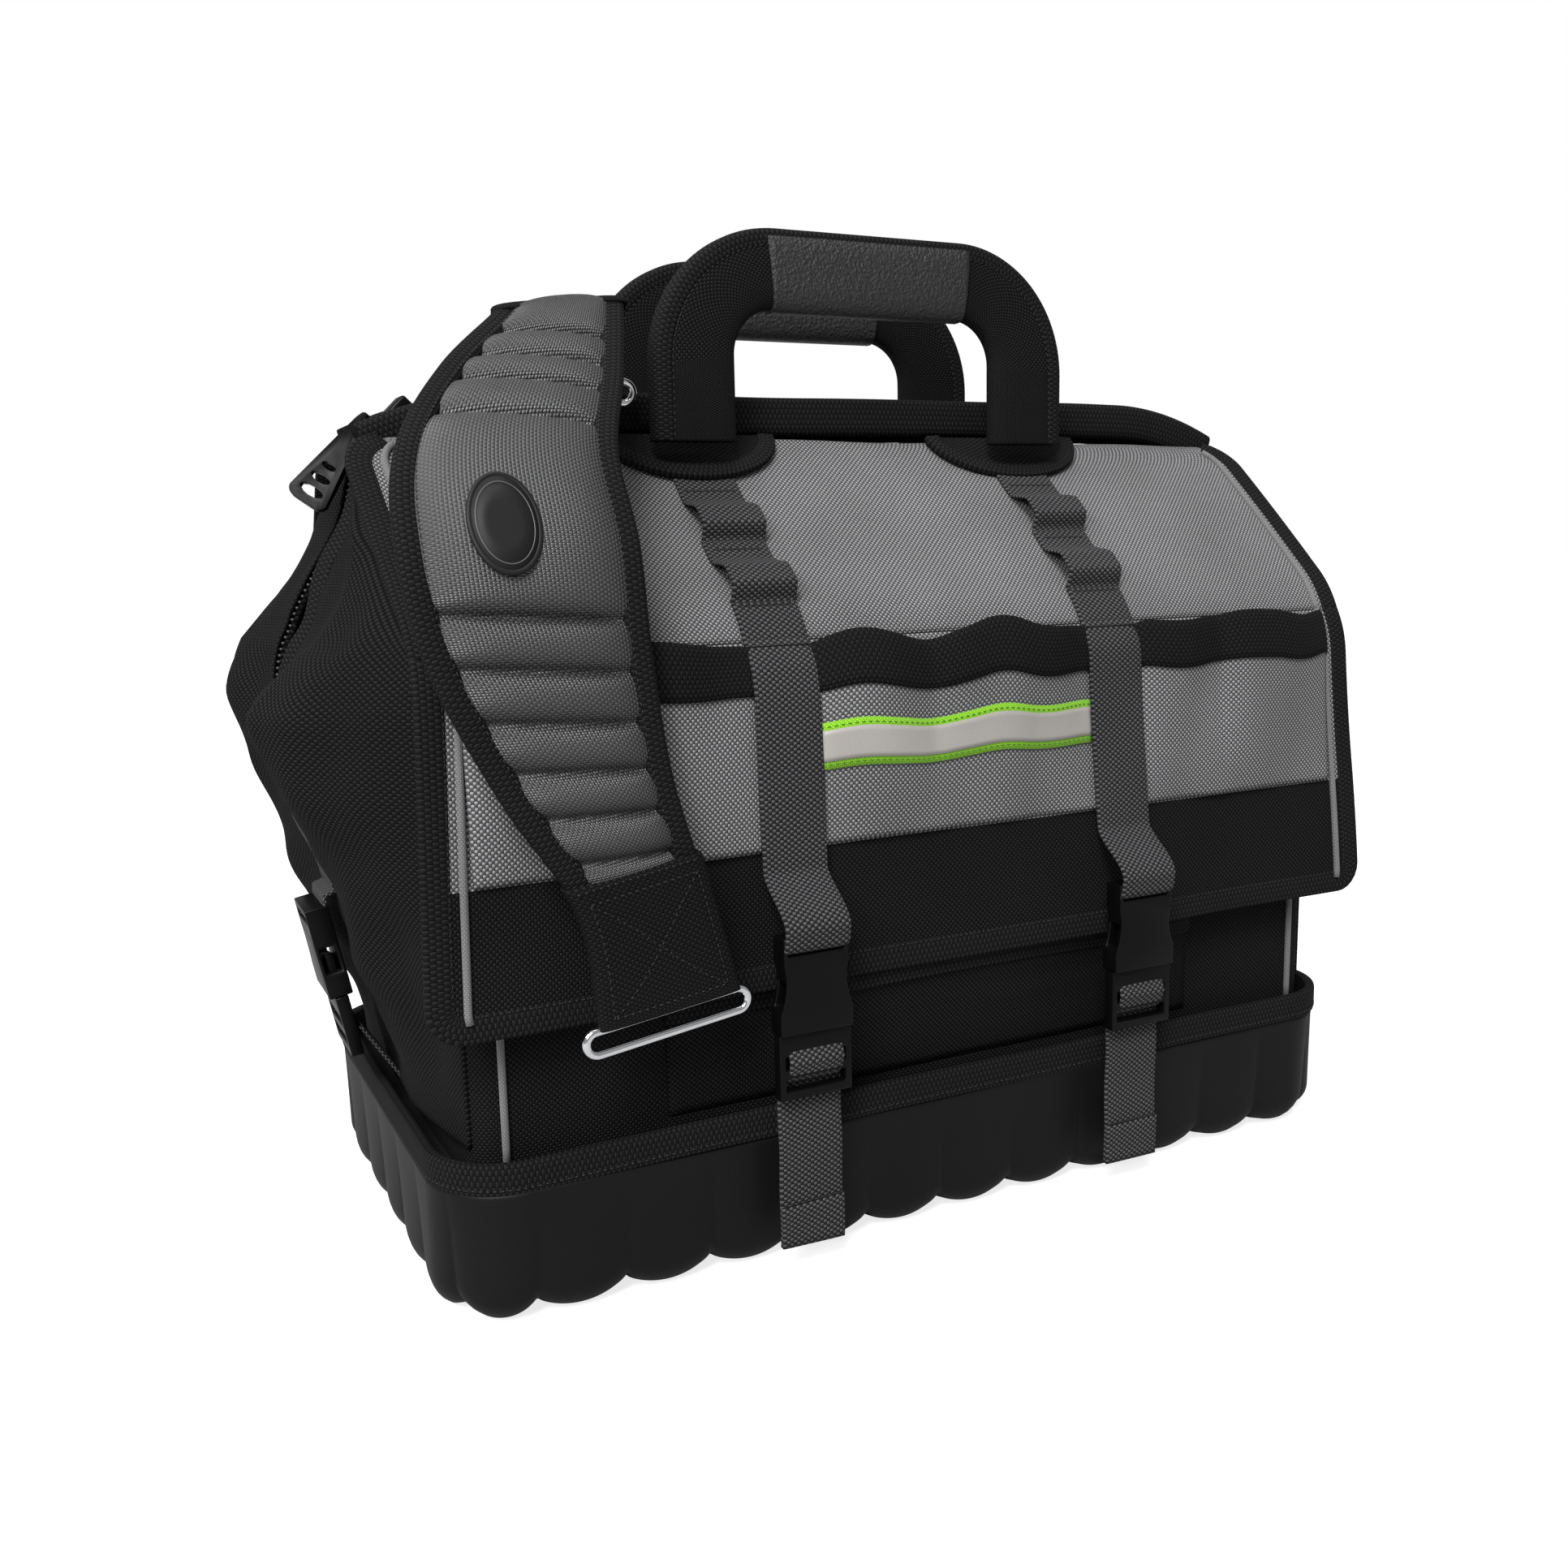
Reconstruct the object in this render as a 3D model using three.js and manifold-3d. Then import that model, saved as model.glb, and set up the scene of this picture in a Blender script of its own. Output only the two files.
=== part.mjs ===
// Soft-sided tool bag: a moulded tray, a cloth body with a mouth that opens at the top, hanging
// front and rear flaps held down by side-release buckles, two padded handles, folding ends and a
// loose shoulder pad.
// Frame: X along the bag (right is +X), the front faces -Y, Z is up. The origin is on the floor
// under the middle of the tray. Lengths are in millimetres.
import * as THREE from "three";
import { mergeVertices } from "three/addons/utils/BufferGeometryUtils.js";
import Module from "manifold-3d";

const wasm = await Module();
wasm.setup();

// ---- Driving dimensions --------------------------------------------------------------------
const BODY_LENGTH = 480; // between the body's end corners
const BODY_DEPTH = 236; // between the outer faces of the front and rear walls
const FOLD_HEIGHT = 289; // where the straight flaps end and the sloping roof panels begin
const ROOF_HEIGHT = 383; // where a roof panel reaches its mouth sleeve
const CLOTH = 3; // lined and padded cloth
const GAP = 0.3; // between pieces that touch

const TRAY_HEIGHT = 75;
const TRAY_MARGIN_X = 15; // the tray stands out past the body at each end
const TRAY_MARGIN_Y = 13;
const TRAY_WALL = 4;
const TRAY_FLOOR = 5;
const TRAY_CORNER = 38;
const TRAY_FOOT_INSET = 6; // rounding where the wall meets the floor
const FLUTE_COUNT = 36;
const FLUTE_DEPTH = 3;
const RIM_TAPE_HEIGHT = 13;
const RIM_TAPE_THICKNESS = 1.2;

const BODY_CORNER = 14;
const BOARD_THICKNESS = 3;
const END_WALL_RISE = 21; // above the tray, where the folding ends take over from the walls
const END_CLOTH_RISE = 7; // above the tray, to the foot of the folding ends

const SLEEVE_OVERHANG = 5; // past the body at each end
const SLEEVE_DEPTH = 17;
const SLEEVE_HEIGHT = 19;
const ROD_RADIUS = 4;
const ROD_CLEARANCE = 0.3;
const ROD_INSET = 3; // from a sleeve's end to its rod's end
const ZIP_HALF_WIDTH = 8; // one side's tape, from the teeth to its sleeve
const ZIP_RISE = 21; // the teeth stand this far above the roof's top edge
const ZIP_END_SETBACK = 28; // the zip stops this far short of the left end
const TAPE_THICKNESS = 2;

const FLAP_HEM_HEIGHT = 135;
const FLAP_FLARE = 12; // the hem hangs this far further out than the fold
const FLAP_CLEARANCE = 6; // from the body wall to the flap's outer face at the fold
const FLAP_OVERHANG_TOP = 10; // past the body at each side of a flap
const FLAP_OVERHANG_HEM = 17;
const ROOF_OVERHANG = 16; // the roof panels widen towards the mouth
const ROOF_CORNER = 14; // cut off each upper corner of a roof panel
const FLAP_LIFT_GAP = 3; // between a roof panel's lower edge and its flap's upper edge

const POCKET_ROW_BOTTOM = 196;
const POCKET_CLOTH = 1.5;
const POCKET_BULGE = 12;
const POCKET_STEPS = 12; // flat strips across one pocket
const POCKET_MARGIN = 14; // from the flap's side edge to the pocket row
const BACK_POCKET_LIFT = 2; // above the tray's rim
const BACK_POCKET_DROP = 6; // below the flap's hem
const BACK_POCKET_WIDTH = 300;
const BACK_POCKET_BULGE = 9;

const WEBBING_WIDTH = 32;
const WEBBING = 2;
const STRAP_INSET = 24; // from a handle's outer side to a strap's centre line
const STRAP_STANDOFF = 4; // a lower strap lies over the pocket cloth
const LOOP_HEIGHT = 8; // inside height of a tool loop
const LOOP_LENGTH = 28;
const LOOP_STARTS = [44, 84]; // down the roof, to the top of each tool loop
const STRAP_START = 8; // down the roof, to the top of a strap
const STRAP_SEWN = 12; // below the pocket row, where a strap leaves the flap

const BUCKLE_STANDOFF = 13; // from the flap's hem to the buckles' centre plane
const SOCKET_ABOVE_HEM = 26;
const SOCKET_EDGE = 2; // a socket is this much wider than its webbing at each side
const SOCKET_HEIGHT = 44;
const SOCKET_THICKNESS = 11;
const SOCKET_WALL = 2;
const SOCKET_SHOULDER = 12; // straight part at a socket's top
const SOCKET_WAIST = 5; // how far its sides draw in below the shoulder
const SOCKET_LIP = 10; // straight part at its mouth
const STRAP_SLOT_HEIGHT = 4;
const PLUG_FRAME_HEIGHT = 30;
const PLUG_THICKNESS = 6;
const PRONG_LENGTH = 20;
const PLUG_BAR = 4;
const TAIL_FOOT = 14; // the loose end of a tail hangs this far above the floor

const HANDLE_STANDOFF = 12.4; // from a sleeve's outer face to a handle
const HANDLE_WIDTH = 232;
const HANDLE_HEIGHT = 98;
const HANDLE_LEG = 42;
const HANDLE_BAR = 36;
const HANDLE_THICKNESS = 14;
const HANDLE_FOOT_DROP = 5; // below the roof's top edge
const HANDLE_OUTER_RADIUS = 62;
const HANDLE_INNER_RADIUS = 16;
const GRIP_LENGTH = 114;
const GRIP_WALL = 3;

const END_BUCKLE_RISE = 93; // above the tray
const END_STRAP_LENGTH = 42;
const END_BUCKLE_STANDOFF = 1;
const END_BUCKLE_LEAN = 14; // the plug's foot hangs this much closer to the body than its socket

const SLIDER_SIZE = new THREE.Vector3(20, 14, 11);
const SLIDER_RISE = 7; // above the roof's top edge
const SLIDER_THROAT = 3;
const PULL_LENGTH = 50;
const PULL_WIDTH = 16;
const PULL_THICKNESS = 4;
const PULL_DROOP = 52; // degrees below the horizontal
const PULL_HOLES = [0.6, 0.73, 0.87]; // shares of the pull's length, to each hole's middle

const PAD_THICKNESS = 12;
const PAD_PATCH_THICKNESS = 5; // the webbing patches that hold the rings
// Thickness along the pad's lower and upper pieces, by share of their length.
const PAD_LOWER_THICKNESS = [
  [0, PAD_PATCH_THICKNESS],
  [0.33, PAD_PATCH_THICKNESS],
  [0.45, PAD_THICKNESS],
];
const PAD_UPPER_THICKNESS = [
  [0.5, PAD_THICKNESS],
  [0.6, PAD_PATCH_THICKNESS],
];
const PAD_END_WIDTH = 60;
const PAD_END_CLEARANCE = 11; // from the pad's upper end to the handle beside it
const PAD_STRAP_CLEARANCE = 11; // from the lower ring to the buckle beside it
const RING_WIRE = 4;
const RING_OVERHANG = 9; // past the pad's end at each side
const RING_HEIGHT = 20;

const SIDES = [
  ["front", -1],
  ["rear", 1],
];
const ENDS = [
  ["left", -1],
  ["right", 1],
];

// ---- Positions that follow from them -------------------------------------------------------
const bodyEnd = BODY_LENGTH / 2;
const bodyFront = BODY_DEPTH / 2;
const trayEnd = bodyEnd + TRAY_MARGIN_X;
const trayFront = bodyFront + TRAY_MARGIN_Y;
const foldOut = bodyFront + FLAP_CLEARANCE;
const sleeveInner = ZIP_HALF_WIDTH + 2 * GAP;
const sleeveOuter = sleeveInner + SLEEVE_DEPTH;
const sleeveHalf = bodyEnd + SLEEVE_OVERHANG;
const sleeveBottom = ROOF_HEIGHT + GAP;
const sleeveTop = sleeveBottom + SLEEVE_HEIGHT;
const flapHalfTop = bodyEnd + FLAP_OVERHANG_TOP;
const flapHalfHem = bodyEnd + FLAP_OVERHANG_HEM;
const handleOut = sleeveOuter + HANDLE_STANDOFF + HANDLE_THICKNESS / 2;
const handleFoot = ROOF_HEIGHT - HANDLE_FOOT_DROP;
const strapX = HANDLE_WIDTH / 2 - STRAP_INSET;
const socketTop = FLAP_HEM_HEIGHT + SOCKET_ABOVE_HEM;
const socketWidth = WEBBING_WIDTH + 2 * SOCKET_EDGE;
const endBuckleTop = TRAY_HEIGHT + END_BUCKLE_RISE;
const flapTop = FOLD_HEIGHT - FLAP_LIFT_GAP;
const frameTop = socketTop - SOCKET_HEIGHT - GAP; // top of a plug's frame, under its socket

// The outer face of a roof panel runs in a straight line from the fold to the sleeve. Points
// in the (out, z) plane are used for both sides: out is the distance from the middle plane.
const roofFold = new THREE.Vector2(foldOut, FOLD_HEIGHT);
const roofTop = new THREE.Vector2(sleeveOuter, ROOF_HEIGHT - CLOTH);
const roofSlope = roofTop.clone().sub(roofFold).normalize();
const roofLength = roofTop.distanceTo(roofFold);
const flapHem = new THREE.Vector2(foldOut + FLAP_FLARE, FLAP_HEM_HEIGHT);
const buckleOut = flapHem.x + BUCKLE_STANDOFF;

// ---- Solids --------------------------------------------------------------------------------
function solid(geometry) {
  const bare = geometry.index ? geometry.toNonIndexed() : geometry.clone();
  bare.deleteAttribute("normal");
  bare.deleteAttribute("uv");
  const merged = mergeVertices(bare, 1e-4);
  return new wasm.Manifold(
    new wasm.Mesh({
      numProp: 3,
      vertProperties: merged.attributes.position.array,
      triVerts: new Uint32Array(merged.index.array),
    }),
  );
}

function geometryOf(manifold) {
  const mesh = manifold.getMesh();
  const geometry = new THREE.BufferGeometry();
  geometry.setAttribute("position", new THREE.BufferAttribute(mesh.vertProperties, 3));
  geometry.setIndex(new THREE.BufferAttribute(mesh.triVerts, 1));
  geometry.computeVertexNormals();
  return geometry;
}

function turnedInsideOut(geometry) {
  const flipped = geometry.index ? geometry.toNonIndexed() : geometry;
  const position = flipped.attributes.position;
  for (let i = 0; i < position.count; i += 3) {
    const b = new THREE.Vector3().fromBufferAttribute(position, i + 1);
    const c = new THREE.Vector3().fromBufferAttribute(position, i + 2);
    position.setXYZ(i + 1, c.x, c.y, c.z);
    position.setXYZ(i + 2, b.x, b.y, b.z);
  }
  return flipped;
}

function signedVolume(geometry) {
  const faces = geometry.index ? geometry.toNonIndexed() : geometry;
  const position = faces.attributes.position;
  let volume = 0;
  for (let i = 0; i < position.count; i += 3) {
    const a = new THREE.Vector3().fromBufferAttribute(position, i);
    const b = new THREE.Vector3().fromBufferAttribute(position, i + 1);
    const c = new THREE.Vector3().fromBufferAttribute(position, i + 2);
    volume += a.dot(b.cross(c)) / 6;
  }
  return volume;
}

function facingOut(geometry) {
  return signedVolume(geometry) < 0 ? turnedInsideOut(geometry) : geometry;
}

// A closed sheet of across x along patches. place(u, v, w) gives the point at u across, v along
// and w through the thickness, each from 0 to 1.
function sheet(across, along, place) {
  const geometry = new THREE.BoxGeometry(1, 1, 1, across, along, 1);
  const position = geometry.attributes.position;
  for (let i = 0; i < position.count; i++) {
    const point = place(
      position.getX(i) + 0.5,
      position.getY(i) + 0.5,
      position.getZ(i) + 0.5,
    );
    position.setXYZ(i, point.x, point.y, point.z);
  }
  return facingOut(geometry);
}

function box(size, centre) {
  return new THREE.BoxGeometry(size.x, size.y, size.z).translate(centre.x, centre.y, centre.z);
}

function boxBetween(low, high) {
  const size = new THREE.Vector3(...high).sub(new THREE.Vector3(...low));
  const centre = new THREE.Vector3(...high).add(new THREE.Vector3(...low)).multiplyScalar(0.5);
  return box(size, centre);
}

function mirrored(geometry, x, y) {
  const copy = geometry.clone().applyMatrix4(new THREE.Matrix4().makeScale(x, y, 1));
  return facingOut(copy);
}

function between(table, at) {
  const next = table.findIndex(([place]) => place >= at);
  if (next === -1) return table.at(-1)[1];
  if (next === 0) return table[0][1];
  const [start, low] = table[next - 1];
  const [end, high] = table[next];
  return THREE.MathUtils.mapLinear(at, start, end, low, high);
}

function roundedRectangle(halfX, halfY, radius) {
  const shape = new THREE.Shape();
  shape.moveTo(halfX, radius - halfY);
  shape.lineTo(halfX, halfY - radius);
  shape.absarc(halfX - radius, halfY - radius, radius, 0, Math.PI / 2);
  shape.lineTo(radius - halfX, halfY);
  shape.absarc(radius - halfX, halfY - radius, radius, Math.PI / 2, Math.PI);
  shape.lineTo(-halfX, radius - halfY);
  shape.absarc(radius - halfX, radius - halfY, radius, Math.PI, Math.PI * 1.5);
  shape.lineTo(halfX - radius, -halfY);
  shape.absarc(halfX - radius, radius - halfY, radius, Math.PI * 1.5, Math.PI * 2);
  return shape;
}

function extrudedUp(shape, from, to, curveSegments) {
  return new THREE.ExtrudeGeometry(shape, {
    depth: to - from,
    bevelEnabled: false,
    curveSegments,
  }).translate(0, 0, from);
}

// ---- Materials -----------------------------------------------------------------------------
function material(color, roughness, metalness = 0) {
  return new THREE.MeshStandardMaterial({ color, roughness, metalness });
}

const looks = {
  tray: () => material(0x17181a, 0.6),
  blackCloth: () => material(0x1b1b1d, 0.9),
  greyCloth: () => material(0x5b5b5d, 0.9),
  tape: () => material(0x101012, 0.85),
  webbing: () => material(0x333336, 0.85),
  buckle: () => material(0x141416, 0.45),
  board: () => material(0x2a2a2c, 0.8),
  steel: () => material(0xb8babd, 0.3, 1),
  grip: () => material(0x1f1f22, 0.8),
};

const bag = new THREE.Group();

function add(name, geometry, look) {
  const mesh = new THREE.Mesh(geometry, looks[look]());
  mesh.name = name;
  bag.add(mesh);
}

// ---- Tray ----------------------------------------------------------------------------------
// The tray's outer wall at a share of the way round it, grown by its flutes.
function trayOutline(share, inset, flute) {
  const outline = roundedRectangle(trayEnd - inset, trayFront - inset, TRAY_CORNER - inset);
  const point = outline.getPointAt(share);
  const tangent = outline.getTangentAt(share);
  const wave = (Math.cos(2 * Math.PI * FLUTE_COUNT * share) - 1) / 2;
  return point.add(new THREE.Vector2(tangent.y, -tangent.x).multiplyScalar(flute * wave));
}

function baseTray() {
  const wallTop = TRAY_HEIGHT - RIM_TAPE_HEIGHT - GAP;
  const levels = [
    { z: 0, inset: TRAY_FOOT_INSET, flute: 0 },
    { z: TRAY_FOOT_INSET, inset: 0, flute: FLUTE_DEPTH },
    { z: wallTop, inset: 0, flute: 0 },
  ];
  const around = FLUTE_COUNT * 4;
  const outer = new THREE.CylinderGeometry(1, 1, 1, around, levels.length - 1);
  const position = outer.attributes.position;
  for (let i = 0; i < position.count; i++) {
    const level = levels[Math.round((position.getY(i) + 0.5) * (levels.length - 1))];
    const radius = Math.hypot(position.getX(i), position.getZ(i));
    const turn = Math.atan2(position.getX(i), position.getZ(i)) / (2 * Math.PI);
    const step = Math.round(THREE.MathUtils.euclideanModulo(turn, 1) * around) % around;
    const point = trayOutline(step / around, level.inset, level.flute).multiplyScalar(radius);
    position.setXYZ(i, point.x, point.y, level.z);
  }
  const inner = extrudedUp(
    roundedRectangle(
      trayEnd - FLUTE_DEPTH - TRAY_WALL,
      trayFront - FLUTE_DEPTH - TRAY_WALL,
      TRAY_CORNER - FLUTE_DEPTH - TRAY_WALL,
    ),
    TRAY_FLOOR,
    TRAY_HEIGHT,
    6,
  );
  return geometryOf(solid(facingOut(outer)).subtract(solid(inner)));
}

function rimTape() {
  const out = RIM_TAPE_THICKNESS;
  const inset = FLUTE_DEPTH + TRAY_WALL + out;
  const ring = roundedRectangle(trayEnd + out, trayFront + out, TRAY_CORNER + out);
  ring.holes.push(
    roundedRectangle(trayEnd - inset, trayFront - inset, TRAY_CORNER - inset),
  );
  return extrudedUp(ring, TRAY_HEIGHT - RIM_TAPE_HEIGHT, TRAY_HEIGHT, 8);
}

// ---- Body ----------------------------------------------------------------------------------
function bodyShell() {
  const ring = roundedRectangle(bodyEnd, bodyFront, BODY_CORNER);
  ring.holes.push(
    roundedRectangle(bodyEnd - CLOTH, bodyFront - CLOTH, BODY_CORNER - CLOTH),
  );
  const top = FOLD_HEIGHT - CLOTH - 2 * GAP;
  const tube = solid(extrudedUp(ring, TRAY_FLOOR + GAP, top, 4));
  const open = bodyFront - BODY_CORNER;
  const ends = boxBetween(
    [-trayEnd, -open, TRAY_HEIGHT + END_WALL_RISE],
    [trayEnd, open, ROOF_HEIGHT],
  );
  return geometryOf(tube.subtract(solid(ends)));
}

function baseBoard() {
  const inset = CLOTH + 2;
  const bottom = TRAY_FLOOR + GAP;
  return extrudedUp(
    roundedRectangle(bodyEnd - inset, bodyFront - inset, BODY_CORNER - CLOTH),
    bottom,
    bottom + BOARD_THICKNESS,
    4,
  );
}

// The pocket on the wall below the flap: a bulging sheet, open at its top edge.
function backPocket() {
  const low = TRAY_HEIGHT + BACK_POCKET_LIFT;
  const high = FLAP_HEM_HEIGHT - BACK_POCKET_DROP;
  return sheet(8, 4, (u, v, w) => {
    const bulge = BACK_POCKET_BULGE * Math.sin(Math.PI * u) ** 0.5 * v;
    return new THREE.Vector3(
      (u - 0.5) * BACK_POCKET_WIDTH,
      -(bodyFront + GAP + bulge + w * POCKET_CLOTH),
      THREE.MathUtils.lerp(low, high, v),
    );
  });
}

// ---- Folding ends --------------------------------------------------------------------------
// How far the end cloth stands out past the body, at its crest and at the middle, where the open
// zip lets it fall back. Heights run from 0 at the cloth's foot to 1 at the fold and 2 at the top.
const crestBulge = [
  [0, 8],
  [0.28, 25],
  [0.47, 40],
  [0.74, 60],
  [0.9, 60],
  [1, 54],
  [1.22, 38],
  [1.54, 18],
  [2, 2],
];
const middleBulge = [
  [0, 6],
  [0.28, 16],
  [0.47, 32],
  [0.74, 50],
  [1, 38],
  [1.45, 23],
  [1.76, 13],
  [2, 2],
];
const CREST_SHARE = 0.4; // of the way from the middle to the seam

function endShare(z) {
  const foot = TRAY_HEIGHT + END_CLOTH_RISE;
  return z < FOLD_HEIGHT
    ? THREE.MathUtils.inverseLerp(foot, FOLD_HEIGHT, z)
    : 1 + THREE.MathUtils.inverseLerp(FOLD_HEIGHT, ROOF_HEIGHT, z);
}

// Half the depth of the end cloth at a height: up the wall, then inside the roof's slope.
function seamOut(z) {
  const roofLine = THREE.MathUtils.mapLinear(z, roofFold.y, roofTop.y, roofFold.x, roofTop.x);
  return Math.min(bodyFront, roofLine - CLOTH) - 2 * CLOTH;
}

function endBulge(out, z) {
  const share = out / seamOut(z);
  const crest = between(crestBulge, endShare(z));
  const middle = between(middleBulge, endShare(z));
  if (share < CREST_SHARE) {
    return THREE.MathUtils.lerp(middle, crest, THREE.MathUtils.smoothstep(share, 0, CREST_SHARE));
  }
  const fall = (share - CREST_SHARE) / (1 - CREST_SHARE);
  return crest * Math.cos((fall * Math.PI) / 2);
}

function endPoint(y, z, through) {
  const x = bodyEnd + GAP + endBulge(Math.abs(y), z) + through * CLOTH;
  return new THREE.Vector3(x, y, z);
}

// How far out a buckle or strap has to lie to clear the end cloth at a height.
function endFace(z) {
  return endPoint(socketWidth / 2, z, 1).x;
}

function gusset() {
  const low = TRAY_HEIGHT + END_CLOTH_RISE;
  const high = FOLD_HEIGHT - GAP;
  return sheet(14, 8, (u, v, w) => {
    const z = THREE.MathUtils.lerp(low, high, v);
    return endPoint((2 * u - 1) * seamOut(z), z, w);
  });
}

// The part of an end above the fold, from the open zip's edge to the roof panel.
function wing() {
  const edge = ZIP_HALF_WIDTH + 2;
  return sheet(5, 5, (u, v, w) => {
    const z = THREE.MathUtils.lerp(FOLD_HEIGHT, ROOF_HEIGHT, v);
    return endPoint(-THREE.MathUtils.lerp(edge, seamOut(z), u), z, w);
  });
}

// ---- Roof, mouth and zip -------------------------------------------------------------------
// A point on a side's cover at a distance down from the roof's top edge, and lift above it.
function onRoof(x, distance, lift) {
  const slope = roofSlope.clone().multiplyScalar(-distance);
  const normal = new THREE.Vector2(roofSlope.y, -roofSlope.x).multiplyScalar(lift);
  const point = roofTop.clone().add(slope).add(normal);
  return new THREE.Vector3(x, -point.x, point.y);
}

function onFlap(x, z, lift) {
  const share = (FOLD_HEIGHT - z) / (FOLD_HEIGHT - FLAP_HEM_HEIGHT);
  return new THREE.Vector3(x, -(foldOut + share * (flapHem.x - foldOut) + lift), z);
}

function roofHalf(distance) {
  const widening = (ROOF_OVERHANG - FLAP_OVERHANG_TOP) * (1 - distance / roofLength);
  const corner = Math.max(0, ROOF_CORNER - distance);
  return flapHalfTop + widening - corner;
}

function roof() {
  const stations = [roofLength, ROOF_CORNER, 0];
  return sheet(6, stations.length - 1, (u, v, w) => {
    const distance = stations[Math.round(v * (stations.length - 1))];
    return onRoof((2 * u - 1) * roofHalf(distance), distance, (w - 1) * CLOTH);
  });
}

function sleeve() {
  const cover = boxBetween(
    [-sleeveHalf, -sleeveOuter, sleeveBottom],
    [sleeveHalf, -sleeveInner, sleeveTop],
  );
  return geometryOf(solid(cover).subtract(solid(rod(ROD_RADIUS + ROD_CLEARANCE, sleeveHalf + 1))));
}

function rod(radius, half) {
  const made = new THREE.CylinderGeometry(radius, radius, 2 * half, 16);
  const middle = (sleeveBottom + sleeveTop) / 2;
  return made.rotateZ(Math.PI / 2).translate(0, -(sleeveInner + sleeveOuter) / 2, middle);
}

function mouthRod() {
  return rod(ROD_RADIUS, sleeveHalf - ROD_INSET);
}

// One side's zip tape rises from beside the sleeve to the teeth in the middle plane.
function zipTape() {
  const teeth = ROOF_HEIGHT + ZIP_RISE;
  const foot = ROOF_HEIGHT + SLEEVE_HEIGHT / 2;
  return sheet(1, 1, (u, v, w) => {
    const y = -THREE.MathUtils.lerp(ZIP_HALF_WIDTH, GAP, v);
    const z = THREE.MathUtils.lerp(foot, teeth, v) + (w - 1) * TAPE_THICKNESS;
    const x = THREE.MathUtils.lerp(ZIP_END_SETBACK - bodyEnd, bodyEnd, u);
    return new THREE.Vector3(x, y, z);
  });
}

function slider() {
  const body = box(SLIDER_SIZE, new THREE.Vector3(0, 0, 0));
  const throat = boxBetween(
    [-SLIDER_SIZE.x, -SLIDER_THROAT / 2, -SLIDER_SIZE.z],
    [SLIDER_SIZE.x, SLIDER_THROAT / 2, SLIDER_THROAT - SLIDER_SIZE.z / 2],
  );
  const made = geometryOf(solid(body).subtract(solid(throat)));
  return made.rotateY(-Math.PI / 4).translate(sliderX(), 0, ROOF_HEIGHT + SLIDER_RISE);
}

function sliderX() {
  return ZIP_END_SETBACK - bodyEnd - SLIDER_SIZE.x / 2 - 4;
}

// The pull hangs from a hinge past the slider's outer end, along -X and down, with three oval
// finger holes that grow towards its loose end.
function zipPull() {
  const plate = roundedRectangle(PULL_LENGTH / 2, PULL_WIDTH / 2, 4);
  for (const share of PULL_HOLES) {
    const hole = new THREE.Path();
    const centre = (share - 0.5) * PULL_LENGTH;
    const halfWidth = 0.36 * PULL_WIDTH * share;
    hole.absellipse(centre, 0, halfWidth / 2, halfWidth, 0, Math.PI * 2);
    plate.holes.push(hole);
  }
  const made = new THREE.ExtrudeGeometry(plate, {
    depth: PULL_THICKNESS,
    bevelEnabled: false,
    curveSegments: 5,
  });
  made.translate(PULL_LENGTH / 2 + GAP, 0, -PULL_THICKNESS / 2);
  made.rotateY(THREE.MathUtils.degToRad(180 - PULL_DROOP));
  const hinge = pullHinge();
  return made.translate(hinge.x, hinge.y, hinge.z);
}

function pullHinge() {
  return new THREE.Vector3(sliderX() - SLIDER_SIZE.x / 2 - 2, 0, ROOF_HEIGHT + SLIDER_RISE + 2);
}

// ---- Flaps and pockets ---------------------------------------------------------------------
function flap() {
  return sheet(6, 4, (u, v, w) => {
    const half = THREE.MathUtils.lerp(flapHalfHem, flapHalfTop, v);
    const z = THREE.MathUtils.lerp(FLAP_HEM_HEIGHT, flapTop, v);
    return onFlap((2 * u - 1) * half, z, (w - 1) * CLOTH);
  });
}

// The pocket row is one strip sewn down at its ends and under both straps, so it bulges into
// three pockets that are open along the top. Its columns are the places across it, each with the
// share of the full bulge that it has there.
function pocketColumns() {
  const seam = strapX - WEBBING_WIDTH / 2;
  const outerSeam = strapX + WEBBING_WIDTH / 2;
  const end = flapHalfTop - POCKET_MARGIN;
  const pocket = (low, high) =>
    Array.from({ length: POCKET_STEPS + 1 }, (_, i) => ({
      x: THREE.MathUtils.lerp(low, high, i / POCKET_STEPS),
      bulge: Math.sqrt(Math.sin((Math.PI * Math.min(i, POCKET_STEPS - i)) / POCKET_STEPS)),
    }));
  return [...pocket(-end, -outerSeam), ...pocket(-seam, seam), ...pocket(outerSeam, end)];
}

function pocketRow() {
  const columns = pocketColumns();
  const top = flapTop - 1;
  return sheet(columns.length - 1, 4, (u, v, w) => {
    const column = columns[Math.round(u * (columns.length - 1))];
    const bulge = POCKET_BULGE * column.bulge * v;
    const z = THREE.MathUtils.lerp(POCKET_ROW_BOTTOM, top, v);
    return onFlap(column.x, z, GAP + bulge + w * POCKET_CLOTH);
  });
}

// ---- Straps and buckles --------------------------------------------------------------------
function loopLift(distance) {
  const start = LOOP_STARTS.find((s) => distance >= s && distance <= s + LOOP_LENGTH);
  if (start === undefined) return 0;
  const share = (distance - start) / LOOP_LENGTH;
  return LOOP_HEIGHT * Math.min(1, 4 * share, 4 * (1 - share));
}

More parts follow.
